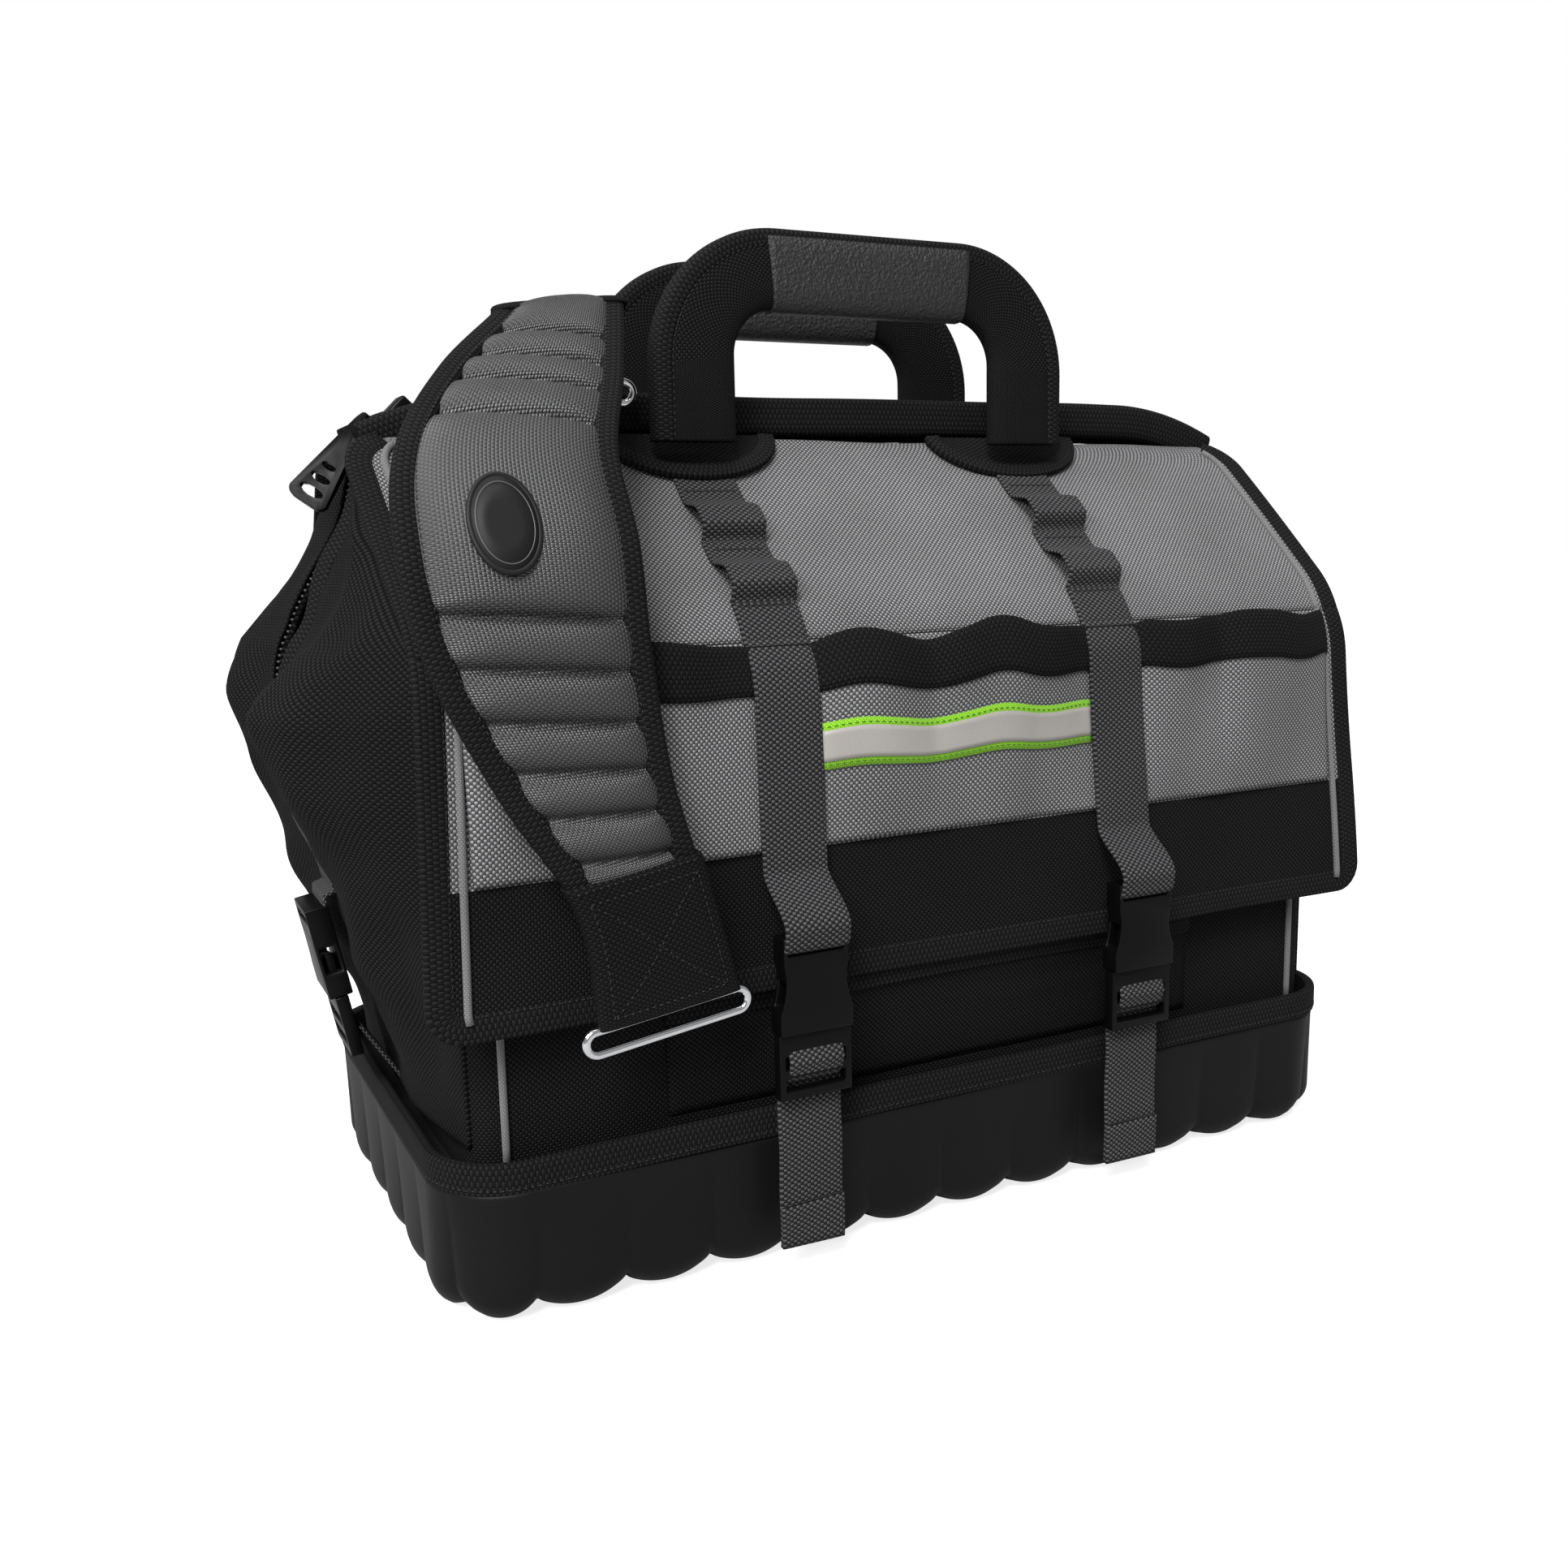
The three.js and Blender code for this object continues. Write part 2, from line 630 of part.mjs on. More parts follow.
function upperStrap() {
  const loops = LOOP_STARTS.flatMap((start) =>
    [0, 0.25, 0.75, 1].map((share) => start + share * LOOP_LENGTH),
  );
  const stations = [STRAP_START, ...loops, roofLength - 1];
  return sheet(1, stations.length - 1, (u, v, w) => {
    const distance = stations[Math.round((1 - v) * (stations.length - 1))];
    const x = strapX + (u - 0.5) * WEBBING_WIDTH;
    return onRoof(x, distance, GAP + loopLift(distance) + w * WEBBING);
  });
}

function lowerStrap() {
  const start = onFlap(strapX, flapTop - 1, STRAP_STANDOFF);
  const sewn = onFlap(strapX, POCKET_ROW_BOTTOM - STRAP_SEWN, STRAP_STANDOFF);
  const end = new THREE.Vector3(strapX, WEBBING / 2 - buckleOut, socketTop + GAP + 1);
  const rows = [start, start.clone().lerp(sewn, 0.5), sewn, end];
  return sheet(1, rows.length - 1, (u, v, w) => {
    const row = rows[Math.round((1 - v) * (rows.length - 1))];
    return new THREE.Vector3(
      strapX + (u - 0.5) * WEBBING_WIDTH,
      row.y - w * WEBBING,
      row.z,
    );
  });
}

// Buckle pieces are made about x = 0 with their front towards -Y, and then put in place.
function socketGeometry(top) {
  const half = socketWidth / 2;
  const neck = half - SOCKET_EDGE;
  const bottom = top - SOCKET_HEIGHT;
  const waist = (top - SOCKET_SHOULDER + bottom + SOCKET_LIP) / 2;
  const outline = new THREE.Shape();
  outline.moveTo(-neck, top);
  outline.lineTo(neck, top);
  outline.lineTo(neck, top - SOCKET_SHOULDER);
  outline.quadraticCurveTo(half - SOCKET_WAIST, waist, half, bottom + SOCKET_LIP);
  outline.lineTo(half, bottom);
  outline.lineTo(-half, bottom);
  outline.lineTo(-half, bottom + SOCKET_LIP);
  outline.quadraticCurveTo(SOCKET_WAIST - half, waist, -neck, top - SOCKET_SHOULDER);
  const shell = new THREE.ExtrudeGeometry(outline, {
    depth: SOCKET_THICKNESS,
    bevelEnabled: false,
    curveSegments: 4,
  });
  shell.rotateX(Math.PI / 2).translate(0, SOCKET_THICKNESS / 2, 0);
  const t = SOCKET_THICKNESS / 2;
  const mouthHalf = half - SOCKET_WAIST;
  const cavity = boxBetween(
    [-mouthHalf, SOCKET_WALL - t, bottom - 1],
    [mouthHalf, t - SOCKET_WALL, top - SOCKET_SHOULDER - SOCKET_WALL],
  );
  const sideWindows = boxBetween(
    [-half - 1, SOCKET_WALL - t, bottom + SOCKET_LIP + SOCKET_WALL],
    [half + 1, t - SOCKET_WALL, top - SOCKET_SHOULDER - 2 * STRAP_SLOT_HEIGHT],
  );
  const slotLow = top - SOCKET_SHOULDER / 2 - STRAP_SLOT_HEIGHT / 2;
  const strapSlot = boxBetween(
    [SOCKET_WALL - neck, -t - 1, slotLow],
    [neck - SOCKET_WALL, t + 1, slotLow + STRAP_SLOT_HEIGHT],
  );
  return geometryOf([cavity, sideWindows, strapSlot].reduce(
    (made, cut) => made.subtract(solid(cut)),
    solid(shell),
  ));
}

function plugGeometry(top) {
  const half = socketWidth / 2;
  const t = PLUG_THICKNESS / 2;
  const bottom = top - PLUG_FRAME_HEIGHT;
  const frame = solid(boxBetween([-half, -t, bottom], [half, t, top]));
  const slotHalf = half - 3;
  const slotHeight = (PLUG_FRAME_HEIGHT - 6 - 3 * PLUG_BAR) / 2;
  const slots = [0, 1].map((i) => {
    const low = bottom + PLUG_BAR + i * (slotHeight + PLUG_BAR);
    return solid(boxBetween([-slotHalf, -t - 1, low], [slotHalf, t + 1, low + slotHeight]));
  });
  const tall = PRONG_LENGTH + 1;
  const prongs = [-1, 1].map((side) => {
    const centre = side * (half - SOCKET_WALL - 6);
    return solid(boxBetween([centre - 2, 1 - t, top - 1], [centre + 2, t - 1, top - 1 + tall]));
  });
  const tongue = solid(boxBetween([-3, 1 - t, top - 1], [3, t - 1, top - 3 + tall]));
  const cut = slots.reduce((made, slot) => made.subtract(slot), frame);
  return geometryOf([...prongs, tongue].reduce((made, prong) => made.add(prong), cut));
}

// The webbing behind a plug, sewn to the wall above the rim and hanging down as a loose tail.
function tail() {
  const back = buckleOut - PLUG_THICKNESS / 2 - GAP - WEBBING;
  const rows = [
    new THREE.Vector2(back, TAIL_FOOT),
    new THREE.Vector2(back, frameTop - 4),
  ];
  return sheet(1, 1, (u, v, w) => {
    const row = rows[Math.round(v)];
    return new THREE.Vector3(
      strapX + (u - 0.5) * WEBBING_WIDTH,
      -(row.x + w * WEBBING),
      row.y,
    );
  });
}

// ---- Handles -------------------------------------------------------------------------------
function handleShape() {
  const half = HANDLE_WIDTH / 2;
  const top = handleFoot + HANDLE_HEIGHT;
  const outerRadius = HANDLE_OUTER_RADIUS;
  const innerRadius = HANDLE_INNER_RADIUS;
  const inner = half - HANDLE_LEG;
  const innerTop = top - HANDLE_BAR;
  const shape = new THREE.Shape();
  shape.moveTo(half, handleFoot);
  shape.lineTo(half, top - outerRadius);
  shape.absarc(half - outerRadius, top - outerRadius, outerRadius, 0, Math.PI / 2);
  shape.lineTo(outerRadius - half, top);
  shape.absarc(outerRadius - half, top - outerRadius, outerRadius, Math.PI / 2, Math.PI);
  shape.lineTo(-half, handleFoot);
  shape.lineTo(-inner, handleFoot);
  shape.lineTo(-inner, innerTop - innerRadius);
  shape.absarc(innerRadius - inner, innerTop - innerRadius, innerRadius, Math.PI, Math.PI / 2, true);
  shape.lineTo(inner - innerRadius, innerTop);
  shape.absarc(inner - innerRadius, innerTop - innerRadius, innerRadius, Math.PI / 2, 0, true);
  shape.lineTo(inner, handleFoot);
  return shape;
}

function handle() {
  const made = new THREE.ExtrudeGeometry(handleShape(), {
    depth: HANDLE_THICKNESS,
    bevelEnabled: false,
    curveSegments: 6,
  });
  return made.rotateX(Math.PI / 2).translate(0, HANDLE_THICKNESS / 2 - handleOut, 0);
}

function handleGrip() {
  const top = handleFoot + HANDLE_HEIGHT + GAP;
  const low = handleFoot + HANDLE_HEIGHT - HANDLE_BAR - GAP;
  const t = HANDLE_THICKNESS / 2 + GAP;
  const outer = boxBetween(
    [-GRIP_LENGTH / 2, -handleOut - t - GRIP_WALL, low - GRIP_WALL],
    [GRIP_LENGTH / 2, t + GRIP_WALL - handleOut, top + GRIP_WALL],
  );
  const inner = boxBetween(
    [-GRIP_LENGTH, -handleOut - t, low],
    [GRIP_LENGTH, t - handleOut, top],
  );
  return geometryOf(solid(outer).subtract(solid(inner)));
}

// ---- Shoulder pad --------------------------------------------------------------------------
// Stations along the pad, from its lower ring up the front, over a fold above the roof and down
// again to its upper ring: x, distance in front of the middle plane, z, width, and how much
// higher the right edge is than the left. The lower piece lies at a lift in front of the flap, a
// share of the way up it.
function onFlapStation(x, share, lift, width, rise) {
  const z = THREE.MathUtils.lerp(FLAP_HEM_HEIGHT, flapTop, share);
  return { x, out: -onFlap(0, z, lift).y, z, width, rise };
}

const ringHalf = PAD_END_WIDTH / 2 + RING_OVERHANG;
const padFootX = -(strapX + socketWidth / 2 + PAD_STRAP_CLEARANCE + ringHalf);
const padLower = [
  onFlapStation(padFootX, 0.02, 14, PAD_END_WIDTH, 8),
  onFlapStation(padFootX - 9, 0.35, 17, PAD_END_WIDTH, 10),
  onFlapStation(padFootX - 30, 0.66, 19, 78, 4),
  onFlapStation(34 - bodyEnd, 1, 21, 94, 0),
];
const padFold = padLower.at(-1);
const padEndX = -(HANDLE_WIDTH / 2 + PAD_END_CLEARANCE + PAD_END_WIDTH / 2);
const padUpper = [
  { ...padFold, z: FOLD_HEIGHT },
  { ...padFold, out: foldOut + 13, z: FOLD_HEIGHT + 41 },
  { x: 38 - bodyEnd, out: foldOut - 10, z: FOLD_HEIGHT + 79, width: 86, rise: 0 },
  { x: 60 - bodyEnd, out: sleeveOuter + 50, z: sleeveTop + 2, width: 78, rise: 0 },
  { x: padEndX - 2, out: sleeveOuter + 18, z: sleeveTop + 34, width: 62, rise: 6 },
  { x: padEndX, out: sleeveOuter + 12, z: sleeveTop + 39, width: PAD_END_WIDTH, rise: 7 },
  { x: padEndX, out: sleeveOuter + 8, z: sleeveTop + 32, width: PAD_END_WIDTH - 2, rise: 7 },
  { x: padEndX - 1, out: sleeveOuter + 8, z: sleeveTop + 4, width: PAD_END_WIDTH - 2, rise: 0 },
];

// A point of the pad: u across from 0 to 1, v along it, lift from its middle towards the front.
function padPoint(points, u, v, lift) {
  const curve = new THREE.CatmullRomCurve3(
    points.map((p) => new THREE.Vector3(p.x, -p.out, p.z)),
    false,
    "centripetal",
  );
  const along = (key) => between(points.map((p, i) => [i / (points.length - 1), p[key]]), v);
  const tangent = curve.getTangent(v).setX(0).normalize();
  const normal = new THREE.Vector3(0, -tangent.z, tangent.y);
  const across = new THREE.Vector3(along("width"), 0, along("rise"));
  return curve.getPoint(v).addScaledVector(across, u - 0.5).addScaledVector(normal, lift);
}

function padPiece(points, steps, thickness) {
  return sheet(2, (points.length - 1) * steps, (u, v, w) =>
    padPoint(points, u, v, (w - 0.5) * between(thickness, v)),
  );
}

// A rectangular wire ring with round ends, lying in the XZ plane about the origin.
function ring() {
  const half = ringHalf - RING_WIRE / 2;
  const radius = (RING_HEIGHT - RING_WIRE) / 2;
  const path = new THREE.CurvePath();
  const left = radius - half;
  const right = half - radius;
  const corner = (x, z) => new THREE.Vector3(x, 0, z);
  path.add(new THREE.LineCurve3(corner(left, radius), corner(right, radius)));
  path.add(roundEnd(right, radius, 1));
  path.add(new THREE.LineCurve3(corner(right, -radius), corner(left, -radius)));
  path.add(roundEnd(left, radius, -1));
  return closedTube(path, 40, 8);
}

// A ring hangs below an end of the pad, tilted as that end is.
function ringAt(end) {
  const tilt = Math.atan2(end.rise, end.width);
  const drop = (RING_HEIGHT / 2 + GAP) / Math.cos(tilt);
  return ring().rotateY(-tilt).translate(end.x, -end.out, end.z - drop);
}

function roundEnd(x, radius, side) {
  const arc = new THREE.Curve();
  arc.getPoint = (t) => {
    const turn = Math.PI * t;
    return new THREE.Vector3(
      x + side * radius * Math.sin(turn),
      0,
      side * radius * Math.cos(turn),
    );
  };
  return arc;
}

// A round wire along a closed path in the XZ plane.
function closedTube(path, steps, sides) {
  const wire = new THREE.TorusGeometry(1, 0.25, sides, steps);
  const position = wire.attributes.position;
  for (let i = 0; i < position.count; i++) {
    const [x, y, z] = [position.getX(i), position.getY(i), position.getZ(i)];
    const share = THREE.MathUtils.euclideanModulo(Math.atan2(y, x) / (2 * Math.PI), 1);
    const step = Math.round(share * steps) % steps;
    const centre = path.getPointAt(step / steps);
    const tangent = path.getTangentAt(step / steps);
    const outward = (Math.hypot(x, y) - 1) * 4;
    const normal = new THREE.Vector3(-tangent.z, 0, tangent.x).multiplyScalar(outward);
    const point = centre.add(normal.multiplyScalar(RING_WIRE / 2));
    position.setXYZ(i, point.x, (z * 4 * RING_WIRE) / 2, point.z);
  }
  return facingOut(wire);
}

// ---- End buckles ---------------------------------------------------------------------------
// Each end's buckle hangs down over the tray's rim: the end cloth pulls it out at the top.
function endBucklePlace(geometry, end) {
  const lean = Math.atan2(END_BUCKLE_LEAN, SOCKET_HEIGHT + PLUG_FRAME_HEIGHT);
  const made = geometry.clone();
  made.translate(0, 0, -endBuckleTop);
  made.rotateX(lean);
  made.rotateZ(-Math.PI / 2);
  made.translate(-endBuckleOut(), 0, endBuckleTop);
  return mirrored(made, -end, 1);
}

function endBuckleOut() {
  return endFace(endBuckleTop) + SOCKET_THICKNESS / 2 + END_BUCKLE_STANDOFF;
}

// The webbing that holds an end socket, lying on the end cloth above it.
function endStrap() {
  const low = endBuckleTop + 1;
  return sheet(1, 3, (u, v, w) => {
    const z = low + v * END_STRAP_LENGTH;
    const x = endFace(z) + END_BUCKLE_STANDOFF + w * WEBBING;
    return new THREE.Vector3(-x, (u - 0.5) * WEBBING_WIDTH, z);
  });
}

// ---- Assembly ------------------------------------------------------------------------------
add("base_tray", baseTray(), "tray");
add("tray_rim_tape", rimTape(), "tape");
add("base_board", baseBoard(), "board");
add("body_shell", bodyShell(), "blackCloth");

for (const [side, y] of SIDES) {
  const across = (geometry) => mirrored(geometry, 1, -y);
  add(side + "_roof", across(roof()), "greyCloth");
  add(side + "_sleeve", across(sleeve()), "tape");
  add(side + "_mouth_rod", across(mouthRod()), "steel");
  add(side + "_zip_tape", across(zipTape()), "greyCloth");
  add(side + "_pocket", across(backPocket()), "blackCloth");
  add(side + "_flap", across(flap()), "blackCloth");
  add(side + "_pocket_row", across(pocketRow()), "greyCloth");
  add(side + "_handle", across(handle()), "blackCloth");
  add(side + "_handle_grip", across(handleGrip()), "grip");
  for (const [end, x] of ENDS) {
    const place = (geometry) => mirrored(geometry, x, -y);
    const atStrap = (geometry) => place(geometry.translate(strapX, -buckleOut, 0));
    add(`${side}_${end}_upper_strap`, place(upperStrap()), "webbing");
    add(`${side}_${end}_lower_strap`, place(lowerStrap()), "webbing");
    add(`${side}_${end}_socket`, atStrap(socketGeometry(socketTop)), "buckle");
    add(`${side}_${end}_plug`, atStrap(plugGeometry(frameTop)), "buckle");
    add(`${side}_${end}_tail`, place(tail()), "webbing");
    add(`${end}_${side}_wing`, place(wing()), "blackCloth");
  }
}

for (const [end, x] of ENDS) {
  const plugTop = endBuckleTop - SOCKET_HEIGHT - GAP;
  add(`${end}_gusset`, mirrored(gusset(), x, 1), "blackCloth");
  add(`${end}_end_strap`, mirrored(endStrap(), -x, 1), "webbing");
  add(`${end}_end_socket`, endBucklePlace(socketGeometry(endBuckleTop), x), "buckle");
  add(`${end}_end_plug`, endBucklePlace(plugGeometry(plugTop), x), "buckle");
}

add("zip_slider", slider(), "buckle");
add("zip_pull", zipPull(), "buckle");

add("shoulder_pad_lower", padPiece(padLower, 3, PAD_LOWER_THICKNESS), "greyCloth");
add("shoulder_pad_upper", padPiece(padUpper, 3, PAD_UPPER_THICKNESS), "greyCloth");
add("pad_lower_ring", ringAt(padLower[0]), "steel");
add("pad_upper_ring", ringAt(padUpper.at(-1)), "steel");

export default bag;
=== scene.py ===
"""Soft-sided tool bag: its cloth, webbing, buckles, zip, handles and shoulder pad around the CAD frame.

Frame: X along the bag, the front faces -Y, Z up, metres. A cover is described by x along the bag and
by "down", the distance from the mouth over the roof and down the flap.
"""

import math

import bmesh
import bpy
from bpy.props import FloatProperty, FloatVectorProperty, IntProperty, PointerProperty
from mathutils import Matrix, Vector, noise


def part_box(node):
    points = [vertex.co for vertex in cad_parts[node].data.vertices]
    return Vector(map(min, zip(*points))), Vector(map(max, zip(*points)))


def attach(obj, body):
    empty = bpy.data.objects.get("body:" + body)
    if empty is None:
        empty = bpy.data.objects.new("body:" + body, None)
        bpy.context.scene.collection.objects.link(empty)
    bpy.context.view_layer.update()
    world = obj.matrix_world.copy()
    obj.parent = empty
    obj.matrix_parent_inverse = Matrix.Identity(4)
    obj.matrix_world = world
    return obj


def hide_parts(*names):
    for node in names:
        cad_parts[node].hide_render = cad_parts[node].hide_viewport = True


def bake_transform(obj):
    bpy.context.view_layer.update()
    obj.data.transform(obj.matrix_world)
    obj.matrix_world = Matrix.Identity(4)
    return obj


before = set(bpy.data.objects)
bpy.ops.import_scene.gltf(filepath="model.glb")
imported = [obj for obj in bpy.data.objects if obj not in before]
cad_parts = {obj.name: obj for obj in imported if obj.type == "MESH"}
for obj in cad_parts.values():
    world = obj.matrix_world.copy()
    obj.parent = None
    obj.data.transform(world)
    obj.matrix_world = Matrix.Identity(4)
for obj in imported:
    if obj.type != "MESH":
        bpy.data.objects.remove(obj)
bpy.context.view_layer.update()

bl_info = {
    "name": "Soft-Sided Tool Bag",
    "version": (1, 0, 0),
    "blender": (4, 5, 0),
    "location": "View3D > Sidebar > Tool Bag",
    "description": "Builds the cloth, fittings and padding of a tool bag around its frame",
    "category": "Add Mesh",
}

MM = 0.001
FRONT, REAR = -1, 1
SIDES = (("front", FRONT), ("rear", REAR))
ENDS = (("left", -1), ("right", 1))

# ---- Places taken from the frame ---------------------------------------------------------------
TRAY_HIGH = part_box("base_tray")[1]
RIM_LOW, RIM_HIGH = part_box("tray_rim_tape")
SHELL_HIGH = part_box("body_shell")[1]
ROOF_LOW, ROOF_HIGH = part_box("front_roof")
FLAP_LOW, FLAP_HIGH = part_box("front_flap")
ROW_LOW, ROW_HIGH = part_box("front_pocket_row")
SLEEVE_LOW, SLEEVE_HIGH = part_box("front_sleeve")
GUSSET_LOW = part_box("left_gusset")[0]
STRAP_LOW, STRAP_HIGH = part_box("front_right_upper_strap")
SOCKET_LOW, SOCKET_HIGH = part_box("front_right_socket")
PLUG_LOW, PLUG_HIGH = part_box("front_right_plug")
TAIL_LOW, TAIL_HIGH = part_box("front_right_tail")
HANDLE_LOW, HANDLE_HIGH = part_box("front_handle")
GRIP_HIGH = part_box("front_handle_grip")[1]
POCKET_LOW, POCKET_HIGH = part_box("front_pocket")
TEETH_LOW, TEETH_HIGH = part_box("front_zip_tape")
PATCH_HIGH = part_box("shoulder_pad_lower")[1]

BODY_END = SHELL_HIGH.x
BODY_FRONT = SHELL_HIGH.y
BODY_CORNER = 14 * MM
WALL_FOOT = 8 * MM       # the cloth walls start above the tray's floor
END_WALL_TOP = 96 * MM   # the end walls are low: the folding ends stand on them
TRAY_CORNER = 38 * MM
TRAY_FOOT = 15 * MM  # radius from the tray's wall to its underside
FOLD = Vector((-ROOF_LOW.y, FLAP_HIGH.z + 3 * MM))  # out from the middle plane, and height
ROOF_TOP = Vector((-SLEEVE_LOW.y, ROOF_HIGH.z))
HEM = Vector((-FLAP_LOW.y, FLAP_LOW.z))
ROOF_LENGTH = (FOLD - ROOF_TOP).length
COVER_LENGTH = ROOF_LENGTH + (HEM - FOLD).length
FOLD_ROUND = 26 * MM  # half the stretch over which a cover bends at its fold
FLAP_HALF_TOP = BODY_END + 10 * MM  # half a flap's width at the fold
ROOF_CORNER = 20 * MM
HEM_CORNER = 9 * MM
CLOTH = 2.6 * MM
WEBBING = 1.8 * MM
STRAP_X = (STRAP_LOW.x + STRAP_HIGH.x) / 2
STRAP_HALF = (STRAP_HIGH.x - STRAP_LOW.x) / 2
HANDLE_OUT = -(HANDLE_LOW.y + HANDLE_HIGH.y) / 2


# ---- Colours and materials ---------------------------------------------------------------------
def linear(hex_colour):
    """A #rrggbb colour turned from sRGB to linear light."""
    shares = [int(hex_colour[i:i + 2], 16) / 255 for i in (1, 3, 5)]
    return [s / 12.92 if s <= 0.04045 else ((s + 0.055) / 1.055) ** 2.4 for s in shares]


def add_node(tree, kind, settings=None, links=None):
    """Adds one node, fills its properties or inputs by name, and joins its inputs to other sockets."""
    node = tree.nodes.new(kind)
    for key, value in (settings or {}).items():
        if isinstance(key, str) and hasattr(node, key):
            setattr(node, key, value)
        else:
            node.inputs[key].default_value = value
    for key, source in (links or {}).items():
        tree.links.new(source, node.inputs[key])
    return node


def new_material(name, **sockets):
    """A material with a Principled shader whose sockets are set by name, underscores for spaces."""
    material = bpy.data.materials.new(name)
    material.use_nodes = True
    shader = material.node_tree.nodes["Principled BSDF"]
    for key, value in sockets.items():
        shader.inputs[key.replace("_", " ")].default_value = value
    return material, material.node_tree, shader


def blotches(tree, colour, scale, low=0.86, high=1.12):
    """Slow light and dark variation over a surface, as dye and handling leave it."""
    place = add_node(tree, "ShaderNodeTexCoord").outputs["Object"]
    cloud = add_node(tree, "ShaderNodeTexNoise", {"Scale": scale, "Detail": 4.0}, {"Vector": place})
    level = add_node(tree, "ShaderNodeMapRange", {"From Min": 0.3, "From Max": 0.7, "To Min": low,
                                                  "To Max": high}, {"Value": cloud.outputs["Fac"]})
    return add_node(tree, "ShaderNodeVectorMath", {"operation": "MULTIPLY"},
                    {0: colour, 1: level.outputs["Result"]}).outputs["Vector"]


def woven(name, warp_highlit, weft_shaded, gap, across, along, depth, roughness=0.85, sheen=0.15, glint=0.3):
    """Cloth woven over and under: across and along are the thread spacings in millimetres. Its three
    colours are one yarn under painted light: thread tops with a painted highlight, threads in painted
    shade, and painted shade in the gaps.
    """
    material, tree, shader = new_material(name, Roughness=roughness, Sheen_Weight=sheen,
                                          Sheen_Roughness=0.5, Specular_IOR_Level=glint)
    place = add_node(tree, "ShaderNodeSeparateXYZ", None,
                     {0: add_node(tree, "ShaderNodeUVMap").outputs["UV"]})
    waves = []
    for axis, spacing in (("X", across), ("Y", along)):
        turn = add_node(tree, "ShaderNodeMath", {"operation": "MULTIPLY", 1: math.pi / (spacing * MM)},
                        {0: place.outputs[axis]})
        waves.append(add_node(tree, "ShaderNodeMath", {"operation": "SINE"},
                              {0: turn.outputs["Value"]}).outputs["Value"])
    cross = add_node(tree, "ShaderNodeMath", {"operation": "MULTIPLY"},
                     {0: waves[0], 1: waves[1]}).outputs["Value"]
    share = add_node(tree, "ShaderNodeMapRange", {"From Min": -1.0, "From Max": 1.0},
                     {"Value": cross}).outputs["Result"]
    # the ramp paints the weave's light: the highlit warp colour on one set of crossings, the shaded weft
    # colour on the other, and the gap colour as painted shade between the threads
    ramp = add_node(tree, "ShaderNodeValToRGB", None, {"Fac": share})
    ramp.color_ramp.elements[0].color = (*linear(weft_shaded), 1)
    ramp.color_ramp.elements[1].color = (*linear(warp_highlit), 1)
    for place_on_ramp, colour in ((0.4, weft_shaded), (0.5, gap), (0.6, warp_highlit)):
        ramp.color_ramp.elements.new(place_on_ramp).color = (*linear(colour), 1)
    height = add_node(tree, "ShaderNodeMath", {"operation": "ABSOLUTE"}, {0: cross}).outputs["Value"]
    bump = add_node(tree, "ShaderNodeBump", {"Strength": 0.55, "Distance": depth * MM},
                    {"Height": height})
    tree.links.new(blotches(tree, ramp.outputs["Color"], 14.0), shader.inputs["Base Color"])
    tree.links.new(bump.outputs["Normal"], shader.inputs["Normal"])
    return material


def moulded(name, colour, roughness, grain, depth, peak_glint=0.2, **sockets):
    """Moulded plastic or rubber: one colour, with its grit's high points painted lighter and its hollows
    darker (a painted glint and shade that follow the grain), and a grain left by the mould.

    Grain is the size of its grit and depth the height, in millimetres.
    """
    material, tree, shader = new_material(name, Roughness=roughness, **sockets)
    place = add_node(tree, "ShaderNodeTexCoord").outputs["Object"]
    grit = add_node(tree, "ShaderNodeTexNoise", {"Scale": 1000 / grain, "Detail": 3.0},
                    {"Vector": place})
    bump = add_node(tree, "ShaderNodeBump", {"Strength": 0.5, "Distance": depth * MM},
                    {"Height": grit.outputs["Fac"]})
    # painted glint and shade: the colour is lightened where the grit stands high and darkened where it
    # dips
    base = add_node(tree, "ShaderNodeMix", {"data_type": "RGBA", "blend_type": "MIX"},
                    {0: grit.outputs["Fac"]})
    base.inputs[6].default_value = (*[(1 - peak_glint) * c for c in linear(colour)], 1)
    base.inputs[7].default_value = (*[(1 + peak_glint) * c for c in linear(colour)], 1)
    tree.links.new(blotches(tree, base.outputs[2], 9.0, 0.85, 1.15), shader.inputs["Base Color"])
    tree.links.new(bump.outputs["Normal"], shader.inputs["Normal"])
    return material


def grey_polyester():
    # ballistic polyester: fat grey threads over and under, one set painted lighter and the other darker,
    # with painted shade in the gaps between. The threads are drawn wider than real ones, so that the weave
    # shows
    return woven("grey_ballistic_polyester", "#98989a", "#474748", "#141415", 1.3, 1.3, 0.8,
                 sheen=0.05, glint=0.2)


def black_polyester():
    # the same cloth dyed black: only the tops of its threads catch the light
    return woven("black_ballistic_polyester", "#232324", "#0a0a0b", "#020202", 1.3, 1.3, 0.9,
                 sheen=0.0, glint=0.1)


def binding_twill():
    # ribbed nylon binding tape: fine ribs across its width, near black
    return woven("black_ribbed_binding", "#222223", "#0e0e0f", "#020202", 2.6, 1.25, 0.7,
                 sheen=0.0, glint=0.12)


def strap_webbing():
    # charcoal polypropylene webbing: rows of dashes painted light, with painted shade in the gaps, drawn
    # coarse enough to show
    return woven("charcoal_webbing", "#58585a", "#1b1b1c", "#050505", 1.7, 1.3, 1.0, sheen=0.03,
                 glint=0.15)


def band_webbing():
    # black webbing band sewn along the pocket tops
    return woven("black_webbing", "#1e1e1f", "#0b0b0b", "#020202", 1.7, 1.3, 1.0, sheen=0.0,
                 glint=0.12)


